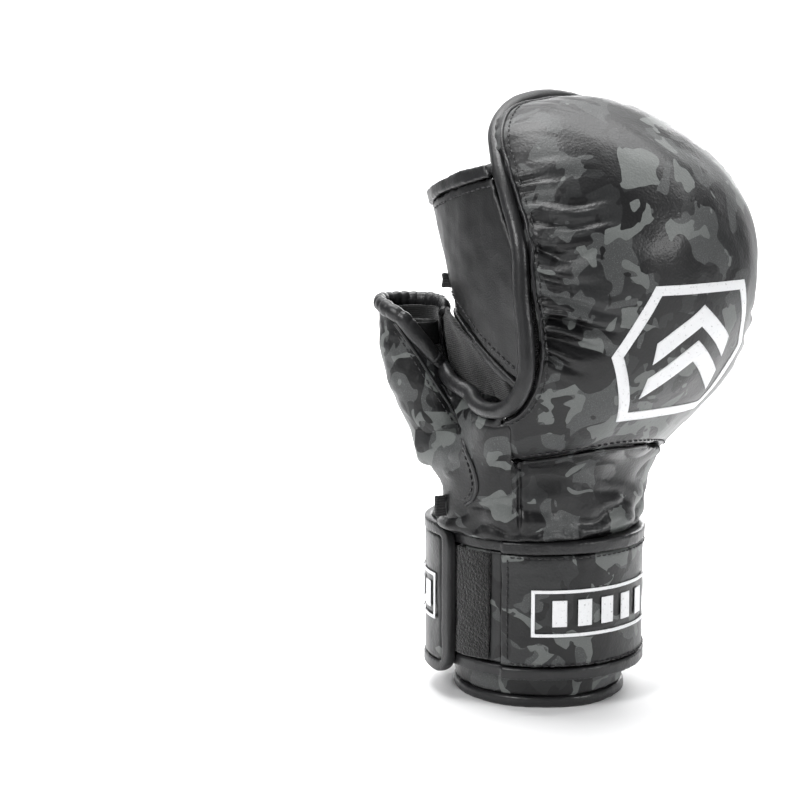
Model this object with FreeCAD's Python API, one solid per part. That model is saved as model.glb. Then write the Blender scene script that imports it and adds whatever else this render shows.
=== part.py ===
import FreeCAD, Part
import math
import os

V = FreeCAD.Vector

# A right-hand padded MMA glove. Millimetres. The origin is on the wrist's axis, at the lower rim of the cuff.
# +Z points to the fingertips, -Y is the back of the hand, +Y the palm, -X the thumb's side.

# ---- Driving dimensions ----
GAP = 0.3                      # air between neighbours that are not sewn face to face
SKIN = 1.6                     # leather-look skin with its backing
LINING = 1.3                   # fabric lining
PIPING = 3.6                   # radius of the hood's rolled piping
BINDING = 2.6                  # radius of the narrower bindings

# Cuff and strap, round the wrist's axis
WRIST_BORE = 33.5              # inside radius of the cuff's lining
CUFF_RIM = 37.6                # outside radius of the cuff's sleeve at its rim
CUFF_BODY = 40.0               # and under the strap
CUFF_FLARE = 42.4              # and at its top
CUFF_TOP = 79.6
RIM_HEIGHT = 5.0
BAND_LOW, BAND_HIGH = 15.0, 76.0
BAND_IN, BAND_OUT = 40.6, 46.6
BASE_OUT = 43.0                # the band isn't padded under the loop patch
PATCH_OUT = 44.4
TAB_LOW, TAB_HIGH = 11.0, 79.0
STRAP_THICK = 4.2
SLIT_WIDTH = 10.0              # stretch slit on the palm side, under the strap

# Angles round the wrist, in degrees from +X towards the palm (+Y)
BAND_START, PAD_START, BAND_END = -200.0, -156.0, -30.0
ANCHOR_END = 8.0               # the strap is sewn down as far as here
STRAP_BEND = 96.0              # the strap's free end folds back from here
TAB_TIP = 171.0
LABEL_CENTRE, LABEL_SPAN = -96.0, 86.0

# The hand's outer surface as level ellipses: height, centre x, centre y, half width in X, half depth in Y
HAND = [
    (68.0, 0.0, 0.0, 42.0, 40.5),
    (80.0, -1.5, 0.0, 46.5, 43.0),
    (88.0, -1.5, 0.0, 50.5, 42.5),
    (97.0, -0.5, 0.0, 55.0, 40.5),
    (105.0, 1.5, -2.0, 58.5, 39.0),
    (112.0, 2.0, -8.0, 60.5, 38.5),
    (122.0, 2.5, -21.0, 62.5, 37.0),
    (135.0, 4.5, -30.0, 65.5, 39.5),
    (150.0, 6.5, -36.0, 68.0, 43.0),
    (170.0, 8.5, -39.0, 69.5, 47.0),
    (190.0, 9.5, -40.0, 70.5, 49.0),
    (210.0, 9.5, -38.0, 69.5, 49.0),
    (228.0, 8.0, -33.0, 64.5, 45.5),
    (244.0, 4.5, -26.0, 56.5, 40.0),
    (256.0, 3.0, -19.0, 45.5, 32.0),
    (263.0, 2.0, -18.0, 30.0, 21.0),
    (266.5, 2.0, -18.0, 13.0, 10.0),
]

# The hood's open face, seen from the side at the thumb edge (y, z). It turns towards the palm across the hand.
FACE_X = -60.0
FACE_TURN = 0.12
HOOD_FACE = [(-28, 90), (-31, 112), (-34, 128), (-41, 138), (-48, 147), (-51, 160), (-50, 178), (-45.5, 204),
             (-33, 228), (-15, 250), (-3, 270), (0, 290)]

# The seam between the hood and the gauntlet, seen from the back (x, z)
HOOD_SEAM = [(-90, 106), (-60, 111), (-30, 115), (3, 116), (35, 111), (62, 102), (95, 90)]

# Upper edges of the gauntlet's side walls, seen from the side (y, z)
THUMB_SIDE_TOP = [(-60, 158), (-50, 148), (-44, 141), (-38, 137), (-30, 135.5), (-21, 136.5), (-12, 139), (0, 141),
                  (12, 142), (60, 142)]
LITTLE_SIDE_TOP = [(-60, 160), (-33, 140), (-25, 132), (-10, 124), (10, 119), (60, 116)]

# Foam layers of the hood, as depths below its outer surface
FOAM_DEPTHS = (15.0, 28.0)
GAUNTLET_WALL = 9.0            # skin, padding and lining together, at the back of the hand
WRIST_WALL = 4.5               # and at the wrist
WALL_GROWTH = 0.22             # added to it for each millimetre upwards

# Wrist flex: the hand tilts about X here, and the wedge below its lower edge is left free for it
WRIST_PIVOT_Z = 80.0
WRIST_WEDGE = math.tan(math.radians(9.5))

# Thumb: level circles along the tube, its base hinge and its swing away from the fingers
THUMB = [
    (76.0, -22.0, 5.0, 20.0, 20.0),
    (86.0, -25.0, 7.0, 20.5, 20.5),
    (98.0, -30.0, 10.5, 19.8, 19.8),
    (110.0, -35.0, 14.5, 18.5, 18.5),
    (122.0, -39.5, 19.5, 17.2, 17.2),
    (135.0, -44.0, 25.0, 16.8, 16.8),
    (150.0, -47.2, 29.4, 16.3, 16.3),
    (165.0, -48.3, 31.0, 15.8, 15.8),
    (180.0, -48.3, 31.5, 15.6, 15.6),
]
THUMB_LOW, THUMB_MOUTH = 112.0, 174.0
THUMB_PIVOT = V(-36.0, 16.0, 112.0)
THUMB_AXIS = V(-1.0, -1.0, 0.0)
THUMB_SWING = 16.0
THUMB_SKIN = 1.5
THUMB_WALL = 5.0
THUMB_TOP_RADIUS = 16.2
# The thumb is open on the side of the fingers. Edge of the opening, seen from the thumb's side: distance from
# the tube's axis towards the fingers, and height
THUMB_EDGE = [(-4.5, 185.0), (-4.5, 171.0), (2.0, 163.0), (9.0, 154.0), (16.0, 145.0), (30.0, 145.0), (30.0, 185.0)]

# Finger sleeve: it closes the hood's open face; level curves as for the hand, but squarer
SLEEVE = [
    (125.0, 6.5, -46.0, 57.0, 60.0),
    (145.0, 6.5, -46.0, 59.0, 63.0),
    (165.0, 6.2, -46.0, 61.8, 67.0),
    (185.0, 6.0, -45.0, 64.0, 72.5),
    (205.0, 6.0, -43.0, 64.5, 77.5),
    (225.0, 5.5, -38.0, 63.0, 81.0),
    (245.0, 5.0, -32.0, 59.0, 84.0),
]
SLEEVE_SQUARENESS = 2.9
SLEEVE_SKIN = 2.2
SLEEVE_RIM = [(-70, 240), (-30, 233), (5, 225), (35, 217), (70, 211)]       # upper edge from the side (y, z)
SLEEVE_FOOT = [(-70, 128), (-50, 141), (-34, 151), (-16, 162.5), (2, 173), (20, 176), (70, 177)]   # lower edge
FINGER_PIVOT = V(0.0, 0.0, 160.0)
FINGER_CURL = 9.0
SLEEVE_CLEAR = 3.2             # the sleeve stays this far in front of the hood's face, so that it can curl
LOOP_CENTRES = (-24.0, -3.5, 17.0, 37.5)
LOOP_HALF_X, LOOP_HALF_Y, LOOP_WALL = 10.0, 12.0, 1.6
LOOP_LOW, LOOP_HIGH = 180.0, 200.0

RING_POINTS = 20
FAR = 200.0                    # beyond the glove in every direction


# ---- Building blocks ----
def level_curve(section, squareness=2.0):
    """A closed smooth level curve: an ellipse, or a squarer oval."""
    z, cx, cy, half_x, half_y = section
    points = []
    for step in range(RING_POINTS):
        angle = 2 * math.pi * step / RING_POINTS
        cos, sin = math.cos(angle), math.sin(angle)
        power = 2.0 / squareness
        across = math.copysign(abs(cos) ** power, cos)
        along = math.copysign(abs(sin) ** power, sin)
        points.append(V(cx + half_x * across, cy + half_y * along, z))
    curve = Part.BSplineCurve()
    curve.interpolate(points, PeriodicFlag=True)
    return Part.Wire(curve.toShape())


def lofted(sections, squareness=2.0):
    """The solid through a stack of level curves."""
    return Part.makeLoft([level_curve(section, squareness) for section in sections], True, False)


def inset(sections, depth, smallest=4.0):
    """The same stack with its surface moved inwards, square to itself."""
    moved = []
    last = len(sections) - 1
    for index, (z, cx, cy, half_x, half_y) in enumerate(sections):
        below, above = sections[max(index - 1, 0)], sections[min(index + 1, last)]
        run = (above[3] + above[4] - below[3] - below[4]) / 2
        rise = above[0] - below[0]
        slope = math.hypot(run, rise)
        in_plane, upward = depth * rise / slope, -depth * run / slope
        if min(half_x, half_y) - in_plane > smallest:
            moved.append((z - upward, cx, cy, half_x - in_plane, half_y - in_plane))
    return moved


def grown(sections, margin):
    """The same stack made wider by a margin all round."""
    return [(z, cx, cy, half_x + margin, half_y + margin) for z, cx, cy, half_x, half_y in sections]


def shell(sections, outer, inner, squareness=2.0):
    """The layer between two depths below the surface of a stack."""
    return lofted(inset(sections, outer), squareness).cut(lofted(inset(sections, inner), squareness))


def curtain(points, plane, closing, travel):
    """A solid bounded on one side by a smooth curve, drawn in a plane and pushed along travel.

    plane turns each pair into a point, and closing is the pair of far corners that close the face.
    """
    curve = Part.BSplineCurve()
    curve.interpolate([plane(a, b) for a, b in points])
    corners = [plane(*points[-1]), plane(*closing[0]), plane(*closing[1]), plane(*points[0])]
    edges = [curve.toShape()] + [Part.LineSegment(a, b).toShape() for a, b in zip(corners, corners[1:])]
    return Part.Face(Part.Wire(edges)).extrude(travel)


def behind_face(offset):
    """All that lies on the back-of-hand side of the hood's open face, less offset."""
    def side(y, z):
        return V(-FAR, y - offset + FACE_TURN * (-FAR - FACE_X), z)
    first, last = HOOD_FACE[0][1], HOOD_FACE[-1][1]
    return curtain(HOOD_FACE, side, [(-FAR, last), (-FAR, first)], V(2 * FAR, 2 * FAR * FACE_TURN, 0))


def above_seam(offset):
    """All that lies above the seam between hood and gauntlet."""
    first, last = HOOD_SEAM[0][0], HOOD_SEAM[-1][0]
    return curtain(HOOD_SEAM, lambda x, z: V(x, -FAR, z + offset), [(last, FAR * 2), (first, FAR * 2)],
                   V(0, 2 * FAR, 0))


def above_edge(edge, offset=0.0):
    """All that lies above an edge drawn from the side."""
    first, last = edge[0][0], edge[-1][0]
    return curtain(edge, lambda y, z: V(-FAR, y, z + offset), [(last, FAR * 2), (first, FAR * 2)],
                   V(2 * FAR, 0, 0))


def slab(z_low, z_high):
    """Everything between two heights."""
    return Part.makeBox(2 * FAR, 2 * FAR, z_high - z_low, V(-FAR, -FAR, z_low))


def sector(centre, start, end):
    """A tall wedge round a vertical line, between two angles in degrees from +X towards +Y."""
    count = max(2, math.ceil((end - start) / 60) + 1)
    corners = [V(centre[0], centre[1], -FAR)]
    for step in range(count):
        angle = math.radians(start + (end - start) * step / (count - 1))
        corners.append(V(centre[0] + 2 * FAR * math.cos(angle), centre[1] + 2 * FAR * math.sin(angle), -FAR))
    return Part.Face(Part.makePolygon(corners + corners[:1])).extrude(V(0, 0, 3 * FAR))


def turned(profile):
    """A ring turned round the wrist's axis from a closed outline of (radius, z)."""
    outline = Part.makePolygon([V(r, 0, z) for r, z in profile + profile[:1]])
    return Part.Face(outline).revolve(V(0, 0, 0), V(0, 0, 1), 360)


def wrist_point(radius, angle, z):
    """A point at a radius and an angle in degrees round the wrist's axis."""
    turn = math.radians(angle)
    return V(radius * math.cos(turn), radius * math.sin(turn), z)


def rolled(points, radius):
    """A round roll of material along a hand-placed route: straight runs joined by tangent arcs."""
    edges = []
    start = points[0]
    for before, corner, after in zip(points, points[1:], points[2:]):
        back, ahead = (before - corner), (after - corner)
        trim = 0.45 * min(back.Length, ahead.Length)
        back.normalize()
        ahead.normalize()
        enter, leave = corner + back * trim, corner + ahead * trim
        half = (math.pi - back.getAngle(ahead)) / 2
        bow = trim * math.tan(half / 2) if half > 1e-3 else 0.0
        middle = (enter + leave) / 2
        inward = (corner - middle)
        inward.normalize()
        edges.append(Part.LineSegment(start, enter).toShape())
        height = (corner - middle).Length
        arc_radius = trim / math.tan(half)
        centre_gap = math.hypot(arc_radius, trim) - arc_radius
        edges.append(Part.Arc(enter, middle + inward * (height - centre_gap), leave).toShape())
        start = leave
    edges.append(Part.LineSegment(start, points[-1]).toShape())
    path = Part.Wire(edges)
    circle = Part.Wire(Part.Circle(points[0], path.Edges[0].tangentAt(0), radius).toShape())
    return path.makePipeShell([circle], True, True)


# ---- Cuff ----
def cuff_profile(outer, inner):
    """Closed outline of one layer of the cuff, between two depths below its outer surface."""
    def side(depth):
        return [(CUFF_RIM - depth, RIM_HEIGHT + GAP), (CUFF_BODY - depth, BAND_LOW + 6),
                (CUFF_BODY - depth, BAND_HIGH + GAP), (CUFF_FLARE - depth, CUFF_TOP)]
    return side(outer) + side(inner)[::-1]


def make_cuff():
    lining_out = WRIST_BORE + LINING
    slit = Part.makeBox(SLIT_WIDTH, FAR, BAND_HIGH, V(-SLIT_WIDTH / 2, 0, -GAP))
    sleeve = turned(cuff_profile(0, SKIN)).cut(slit)
    lined = Part.makeCylinder(lining_out + GAP, FAR)
    padding = turned(cuff_profile(SKIN + GAP, CUFF_BODY - WRIST_BORE)).cut(lined).cut(slit)
    lining = turned([(WRIST_BORE, 0), (lining_out, 0), (lining_out, CUFF_TOP), (WRIST_BORE, CUFF_TOP)])
    gusset_in = lining_out + GAP
    gusset = turned([(gusset_in, RIM_HEIGHT + GAP), (gusset_in + SKIN, RIM_HEIGHT + GAP),
                     (gusset_in + SKIN, BAND_HIGH - GAP), (gusset_in, BAND_HIGH - GAP)])
    gusset = gusset.common(Part.makeBox(SLIT_WIDTH - 2 * GAP, FAR, FAR, V(-SLIT_WIDTH / 2 + GAP, 0, 0)))
    rim = turned([(lining_out, 0), (CUFF_RIM - 0.2, 0), (CUFF_RIM + 1.0, 1.2), (CUFF_RIM + 1.0, RIM_HEIGHT - 0.8),
                  (CUFF_RIM + 0.2, RIM_HEIGHT), (lining_out, RIM_HEIGHT)])
    return {"cuff_sleeve": sleeve, "cuff_padding": padding, "cuff_lining": lining, "slit_gusset": gusset,
            "cuff_rim_binding": rim}


def band_strip(start, end, r_in, r_out, z_low, z_high):
    """Part of a ring round the wrist."""
    ring = turned([(r_in, z_low), (r_out, z_low), (r_out, z_high), (r_in, z_high)])
    return ring.common(sector((0, 0), start, end))


def make_band():
    low, high = BAND_LOW + 2 * BINDING, BAND_HIGH - 2 * BINDING

    def binding(z):
        padded = band_strip(PAD_START, BAND_END, BAND_IN, BAND_OUT + 0.8, z, z + 2 * BINDING)
        return padded.fuse(band_strip(BAND_START, PAD_START, BAND_IN, PATCH_OUT, z, z + 2 * BINDING))

    pieces = {
        "wrist_band": band_strip(PAD_START, BAND_END, BAND_OUT - SKIN, BAND_OUT, low + GAP, high - GAP),
        "band_padding": band_strip(PAD_START, BAND_END, BAND_IN, BAND_OUT - SKIN - GAP, low + GAP, high - GAP),
        "loop_base": band_strip(BAND_START, PAD_START - 0.5, BAND_IN, BASE_OUT, low + GAP, high - GAP),
        "band_bottom_binding": binding(BAND_LOW),
        "band_top_binding": binding(high),
        "loop_patch": band_strip(BAND_START + 2, PAD_START - 8, BASE_OUT + 0.05, PATCH_OUT, low + 1, high - 1),
        "strap_anchor": band_strip(BAND_END + 0.5, ANCHOR_END, BAND_IN, BAND_OUT, BAND_LOW, BAND_HIGH),
    }
    label_low = (BAND_LOW + BAND_HIGH) / 2 - 11
    frame = band_strip(LABEL_CENTRE - LABEL_SPAN / 2, LABEL_CENTRE + LABEL_SPAN / 2, BAND_OUT + 0.05,
                       BAND_OUT + 0.45, label_low, label_low + 21)
    hole = band_strip(LABEL_CENTRE - LABEL_SPAN / 2 + 2, LABEL_CENTRE + LABEL_SPAN / 2 - 2, BAND_IN,
                      FAR, label_low + 1.6, label_low + 19.4)
    bars = [band_strip(LABEL_CENTRE + 14 * step - 4, LABEL_CENTRE + 14 * step + 4, BAND_OUT + 0.05,
                       BAND_OUT + 0.45, label_low + 4.5, label_low + 16.5) for step in range(-2, 3)]
    pieces["band_label"] = Part.makeCompound([frame.cut(hole)] + bars)
    return pieces


def strap_radius(angle):
    """Inside radius of the closing strap: it stands off at the heel of the hand and closes on the patch."""
    part = (angle - ANCHOR_END) / (TAB_TIP - ANCHOR_END)
    return BAND_IN + 0.2 + 4.4 * part + 30.0 * part ** 2 * (1 - part)


def strap_part(start, end, depth, thick, z_low, z_high):
    """A strip of the closing strap at a depth outside its inner face."""
    steps = 12
    angles = [start + (end - start) * step / steps for step in range(steps + 1)]
    sides = []
    for side in (depth, depth + thick):
        curve = Part.BSplineCurve()
        curve.interpolate([wrist_point(strap_radius(angle) + side, angle, z_low) for angle in angles])
        sides.append(curve)
    ends = [Part.LineSegment(sides[0].value(sides[0].getKnot(knot)), sides[1].value(sides[1].getKnot(knot)))
            for knot in (1, sides[0].NbKnots)]
    edges = Part.__sortEdges__([edge.toShape() for edge in sides + ends])
    return Part.Face(Part.Wire(edges)).extrude(V(0, 0, z_high - z_low))


def make_strap():
    start, end = ANCHOR_END + 1.2, STRAP_BEND - 0.8
    low, high = BAND_LOW, BAND_HIGH
    edge = 2 * BINDING
    half = STRAP_THICK / 2
    bindings = [strap_part(start, end, -0.3, STRAP_THICK + 0.9, z, z + edge) for z in (low, high - edge)]
    return {
        "strap_band": strap_part(start, end, half + GAP / 2, half, low + edge + GAP, high - edge - GAP),
        "strap_core": strap_part(start, end, 0, half - GAP / 2, low + edge + GAP, high - edge - GAP),
        "strap_bindings": Part.makeCompound(bindings),
    }


def make_tab():
    start, end = STRAP_BEND + 0.8, TAB_TIP
    edge = 2 * BINDING
    edge_angle = math.degrees(edge / (PATCH_OUT + 3))
    thick = STRAP_THICK - 1.2
    whole = strap_part(start, end, -0.1, STRAP_THICK, TAB_LOW, TAB_HIGH)
    inside = strap_part(start - 2, end - edge_angle, -6, 20, TAB_LOW + edge, TAB_HIGH - edge)
    low, high = TAB_LOW + edge + GAP, TAB_HIGH - edge - GAP
    panel = strap_part(start, end - edge_angle - 0.4, 0.5, thick, low, high)
    patch = strap_part(136, end - edge_angle - 2, -0.7, 1.1, low + 3, high - 3)
    outside = 0.5 + thick + 0.05
    middle = (TAB_LOW + TAB_HIGH) / 2
    frame = strap_part(118, 160, outside, 0.4, middle - 10, middle + 11)
    hole = strap_part(120, 158, outside - 2, 8, middle - 8.4, middle + 9.4)
    bars = [strap_part(angle, angle + 7, outside, 0.4, middle - 5.5, middle + 6.5) for angle in (124, 136, 148)]
    return {"tab_panel": panel, "tab_binding": whole.cut(inside), "hook_patch": patch,
            "tab_label": Part.makeCompound([frame.cut(hole)] + bars)}


# ---- Hand: hood and gauntlet ----
HOOD_PIPING_PATH = [
    V(-54.0, -12.0, 140.5), V(-58.3, -20.5, 137.2), V(-60.5, -30.0, 136.2), V(-60.5, -39.0, 137.6),
    V(-60.5, -46.5, 143.0), V(-60.2, -51.0, 152.0), V(-60.0, -51.3, 165.0), V(-60.0, -48.5, 184.0),
    V(-59.0, -45.5, 206.0), V(-56.0, -35.5, 224.0), V(-51.0, -25.0, 238.0), V(-41.0, -13.0, 251.5),
    V(-24.0, -5.0, 261.5), V(0.0, -1.5, 265.5), V(24.0, 1.0, 263.0), V(43.0, -2.0, 254.0),
    V(58.0, -11.0, 240.0), V(68.5, -19.5, 223.0), V(75.5, -28.5, 206.0), V(78.0, -34.0, 188.0),
    V(76.5, -35.0, 168.0), V(73.0, -34.0, 150.0), V(67.5, -28.0, 136.0), V(62.0, -16.0, 126.5),
]


def thumb_tube(depth, low, high):
    """The thumb's tube at a depth below its surface, between two heights."""
    return lofted(inset(THUMB, depth)).common(slab(low, high))


def thumb_room():
    """All that the thumb's tube sweeps through on its swing, with a little air."""
    tube = thumb_tube(-0.8, THUMB_LOW - 1.5, THUMB_MOUTH + 4)
    room = tube
    for share in (0.34, 0.67, 1.0):
        room = room.fuse(tube.rotated(THUMB_PIVOT, THUMB_AXIS, THUMB_SWING * share))
    return room


def wedge_room():
    """The wedge below the hand's lower edge that the wrist's flex needs."""
    rise = FAR * WRIST_WEDGE
    z = WRIST_PIVOT_Z + 2 * GAP
    corners = [V(-FAR, 0, z), V(-FAR, FAR, z + rise), V(-FAR, FAR, -FAR), V(-FAR, -FAR, -FAR),
               V(-FAR, -FAR, z + rise), V(-FAR, 0, z)]
    return Part.Face(Part.makePolygon(corners)).extrude(V(2 * FAR, 0, 0))


def make_hood():
    face = behind_face(0.0)
    padded = behind_face(LINING + GAP)
    over_seam = above_seam(GAP)
    piping = rolled(HOOD_PIPING_PATH, PIPING)
    depths = [SKIN + GAP, FOAM_DEPTHS[0], FOAM_DEPTHS[1]]
    outer, middle, inner = (lofted(inset(HAND, depth)) for depth in depths)
    outer_middle = lofted(inset(HAND, depths[1] + GAP))
    outer_inner = lofted(inset(HAND, depths[2] + GAP))
    pieces = {
        "hood_skin": lofted(HAND).cut(lofted(inset(HAND, SKIN))).common(face),
        "hood_foam_outer": outer.common(padded).cut(middle.common(padded)),
        "hood_foam_middle": outer_middle.common(padded).cut(inner.common(padded)),
        "hood_foam_inner": outer_inner.common(padded),
        "hood_lining": lofted(inset(HAND, SKIN + GAP)).common(face.cut(behind_face(LINING))),
    }
    cut = {name: shape.common(over_seam).cut(piping) for name, shape in pieces.items()}
    in_front_of_face = behind_face(-1.6).cut(behind_face(-GAP))
    cut["fingertip_flap"] = in_front_of_face.common(Part.makeBox(16.0, FAR, 42.0, V(-50.0, -FAR / 2, 205.0)))
    cut["fingertip_flap"] = cut["fingertip_flap"].cut(rolled(HOOD_PIPING_PATH, PIPING + 0.3))
    cut["hood_piping"] = piping
    cut["hood_emblem"] = emblem()
    return cut


def emblem():
    """A plain printed mark on the back of the hood: a six-sided ring round two chevrons."""
    middle = V(8.0, 0, 160.0)

    def outline(scale, height):
        corners = [(-41, 0), (-27, 29), (27, 29), (41, 0), (27, -29), (-27, -29), (-41, 0)]
        flat = Part.makePolygon([middle + V(x * scale, -FAR, z * height) for x, z in corners])
        return Part.Face(flat).extrude(V(0, FAR - 30, 0))

    def chevron(lift):
        corners = [(-22, -8), (0, 7), (22, -8), (22, -17), (0, -2), (-22, -17), (-22, -8)]
        flat = Part.makePolygon([middle + V(x, -FAR, z + lift) for x, z in corners])
        return Part.Face(flat).extrude(V(0, FAR - 30, 0))

    skin_print = lofted(inset(HAND, -0.45)).cut(lofted(inset(HAND, -0.05)))
    marks = [outline(1.0, 1.0).cut(outline(0.88, 0.86)), chevron(-2.0), chevron(13.0)]
    return Part.makeCompound([skin_print.common(mark) for mark in marks])


def make_gauntlet():
    clear = thumb_room().fuse(wedge_room()).fuse(rolled(HOOD_PIPING_PATH, PIPING + 0.05))
    below_seam = slab(0, FAR * 1.5).cut(above_seam(0.0))
    centre = (3.0, -2.0)
    wall = shell(HAND, 0, SKIN).common(slab(WRIST_PIVOT_Z, 150))
    in_front = slab(WRIST_PIVOT_Z, 150).cut(behind_face(-GAP)).fuse(below_seam)
    thumb_side = slab(WRIST_PIVOT_Z, 150).cut(above_edge(THUMB_SIDE_TOP)).common(in_front)
    little_side = slab(WRIST_PIVOT_Z, 150).cut(above_edge(LITTLE_SIDE_TOP)).common(in_front)
    seam_gap = 0.35
    root = lofted(THUMB).common(slab(WRIST_PIVOT_Z, THUMB_LOW - GAP)).cut(lofted(HAND))
    passage = lofted(inset(THUMB, THUMB_WALL)).common(slab(WRIST_PIVOT_Z + 12, THUMB_LOW + 8))
    root_skin = root.cut(lofted(inset(THUMB, SKIN)))
    panels = {
        "gauntlet_back_panel": wall.common(sector(centre, 211 + seam_gap, 329 - seam_gap)).common(below_seam),
        "gauntlet_thumb_panel": wall.common(sector(centre, 128 + seam_gap, 211)).common(thumb_side),
        "gauntlet_little_panel": wall.common(sector(centre, -31, 52 - seam_gap)).common(little_side),
        "palm_heel_panel": wall.common(sector(centre, 52, 128)).common(slab(WRIST_PIVOT_Z, 113.5)),
    }
    low = slab(WRIST_PIVOT_Z, 110).common(below_seam)
    hollow_at = []
    for z, cx, cy, half_x, half_y in HAND[:9]:
        wall_here = min(GAUNTLET_WALL, WRIST_WALL + (z - WRIST_PIVOT_Z) * WALL_GROWTH)
        hollow_at.append((z, cx, cy, half_x - wall_here, half_y - wall_here))
    padded = lofted(inset(HAND, SKIN + GAP)).common(low)
    lined = lofted(hollow_at).common(low)
    panels["gauntlet_padding"] = padded.cut(lofted(grown(hollow_at, GAP)))
    panels["hand_lining"] = lined.cut(lofted(grown(hollow_at, -LINING)))
    window = [V(-30, 22.5, 116.0), V(-14, 27.0, 116.0), V(8, 28.5, 116.0), V(30, 26.5, 116.0), V(45, 20.0, 117.0),
              V(56, 10.0, 120.0), V(61.5, -4.0, 123.5)]
    panels["palm_edge_binding"] = rolled(window, BINDING)
    clear_edge = rolled(window, BINDING + 0.05)
    for name in panels:
        if name != "palm_edge_binding":
            panels[name] = panels[name].cut(clear).cut(clear_edge).cut(passage)
    panels["palm_edge_binding"] = panels["palm_edge_binding"].cut(clear)
    thumb_at_rest = thumb_tube(-0.8, THUMB_LOW - 1.5, THUMB_MOUTH + 4)
    panels["gauntlet_thumb_panel"] = panels["gauntlet_thumb_panel"].cut(thumb_at_rest)
    panels["thumb_root_panel"] = root_skin.cut(clear).cut(clear_edge)
    panels["thumb_root_padding"] = lofted(inset(THUMB, SKIN + GAP)).cut(lofted(inset(THUMB, THUMB_WALL))).cut(
        lofted(inset(HAND, -GAP))).common(slab(WRIST_PIVOT_Z, THUMB_LOW - GAP)).cut(clear).cut(clear_edge)
    fin_at = V(-44.5, 8.0, 84.0)
    fin = Part.makeBox(1.6, 14.0, 9.0, fin_at)
    fin.rotate(fin_at, V(0, 0, 1), 74)
    panels["pull_tab"] = fin.cut(lofted(inset(HAND, -0.1))).cut(lofted(inset(THUMB, -0.1)))
    return panels


# ---- Thumb ----
TOWARDS_FINGERS = V(math.sqrt(0.5), -math.sqrt(0.5), 0)
OUT_OF_SIDE = V(-math.sqrt(0.5), -math.sqrt(0.5), 0)
THUMB_TOP_CENTRE = V(-48.3, 31.0, 0)


def thumb_opening():
    """The open side of the thumb, from the tube's axis outwards."""
    corners = [THUMB_TOP_CENTRE + TOWARDS_FINGERS * across + V(0, 0, z) for across, z in THUMB_EDGE]
    return Part.Face(Part.makePolygon(corners + corners[:1])).extrude(OUT_OF_SIDE * 30.0)


def thumb_edge_point(across, z, out=0.0):
    """A point of the opening's edge on the thumb's surface."""
    radius = THUMB_TOP_RADIUS + out
    depth = math.sqrt(max(radius ** 2 - across ** 2, 0.0))
    return THUMB_TOP_CENTRE + TOWARDS_FINGERS * across + OUT_OF_SIDE * depth + V(0, 0, z)


def make_thumb():
    centre = (THUMB_TOP_CENTRE.x, THUMB_TOP_CENTRE.y)
    fingers_side = sector(centre, -50, 50)
    opening = thumb_opening()
    skin = thumb_tube(0, THUMB_LOW, THUMB_MOUTH).cut(thumb_tube(THUMB_SKIN, THUMB_LOW - 9, THUMB_MOUTH + 9))
    wall_in = lofted(inset(THUMB, THUMB_WALL))
    lined = lofted(inset(THUMB, THUMB_WALL - LINING))
    padding = thumb_tube(THUMB_SKIN + GAP, THUMB_LOW, THUMB_MOUTH).cut(
        lofted(inset(THUMB, THUMB_WALL - LINING - GAP)))
    lining = lined.cut(wall_in).common(slab(THUMB_LOW, THUMB_MOUTH))
    mouth = lofted(inset(THUMB, -0.9)).cut(wall_in).common(slab(THUMB_MOUTH + 0.1, THUMB_MOUTH + 4.2))
    loop_band = lofted(inset(THUMB, THUMB_WALL + GAP)).cut(lofted(inset(THUMB, THUMB_WALL + 1.4)))
    curled_sleeve = lofted(grown(SLEEVE, 0.8), SLEEVE_SQUARENESS).rotated(FINGER_PIVOT, V(1, 0, 0), -FINGER_CURL)
    edge = [thumb_edge_point(*at) for at in ((-4.5, 171.0), (2.0, 163.0), (8.0, 155.0), (12.5, 149.0))]
    edge_piping = rolled(edge, 2.0)
    edge_clear = rolled(edge, 2.05)
    return {
        "thumb_outer_panel": skin.cut(fingers_side).cut(edge_clear).cut(opening),
        "thumb_inner_panel": skin.common(sector(centre, -48.5, 48.5)).cut(edge_clear).cut(opening),
        "thumb_padding": padding.cut(edge_clear).cut(opening),
        "thumb_lining": lining.cut(edge_clear).cut(opening),
        "thumb_rim_binding": mouth.cut(edge_clear).cut(opening).cut(curled_sleeve),
        "thumb_edge_piping": edge_piping,
        "thumb_loop": loop_band.common(slab(158, 168)).cut(edge_clear),
    }


# ---- Finger sleeve ----
def sleeve_wall_y(x, section, depth):
    """How far towards the palm the sleeve reaches at x, at a depth below its surface."""
    z, cx, cy, half_x, half_y = section
    share = abs(x - cx) / (half_x - depth)
    return cy + (half_y - depth) * (1 - share ** SLEEVE_SQUARENESS) ** (1 / SLEEVE_SQUARENESS)


def finger_loop(x):
    """One finger's loop, sewn to the inside of the sleeve's palm wall."""
    reach = LOOP_HALF_Y + SLEEVE_SKIN + LINING + 3 * GAP
    levels = []
    for section in SLEEVE[2:6]:
        wall = min(sleeve_wall_y(x - LOOP_HALF_X / 2, section, 0), sleeve_wall_y(x + LOOP_HALF_X / 2, section, 0))
        levels.append((section[0], x, wall - reach, LOOP_HALF_X, LOOP_HALF_Y))
    return shell(levels, 0, LOOP_WALL, 2.4).common(slab(LOOP_LOW, LOOP_HIGH))


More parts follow.
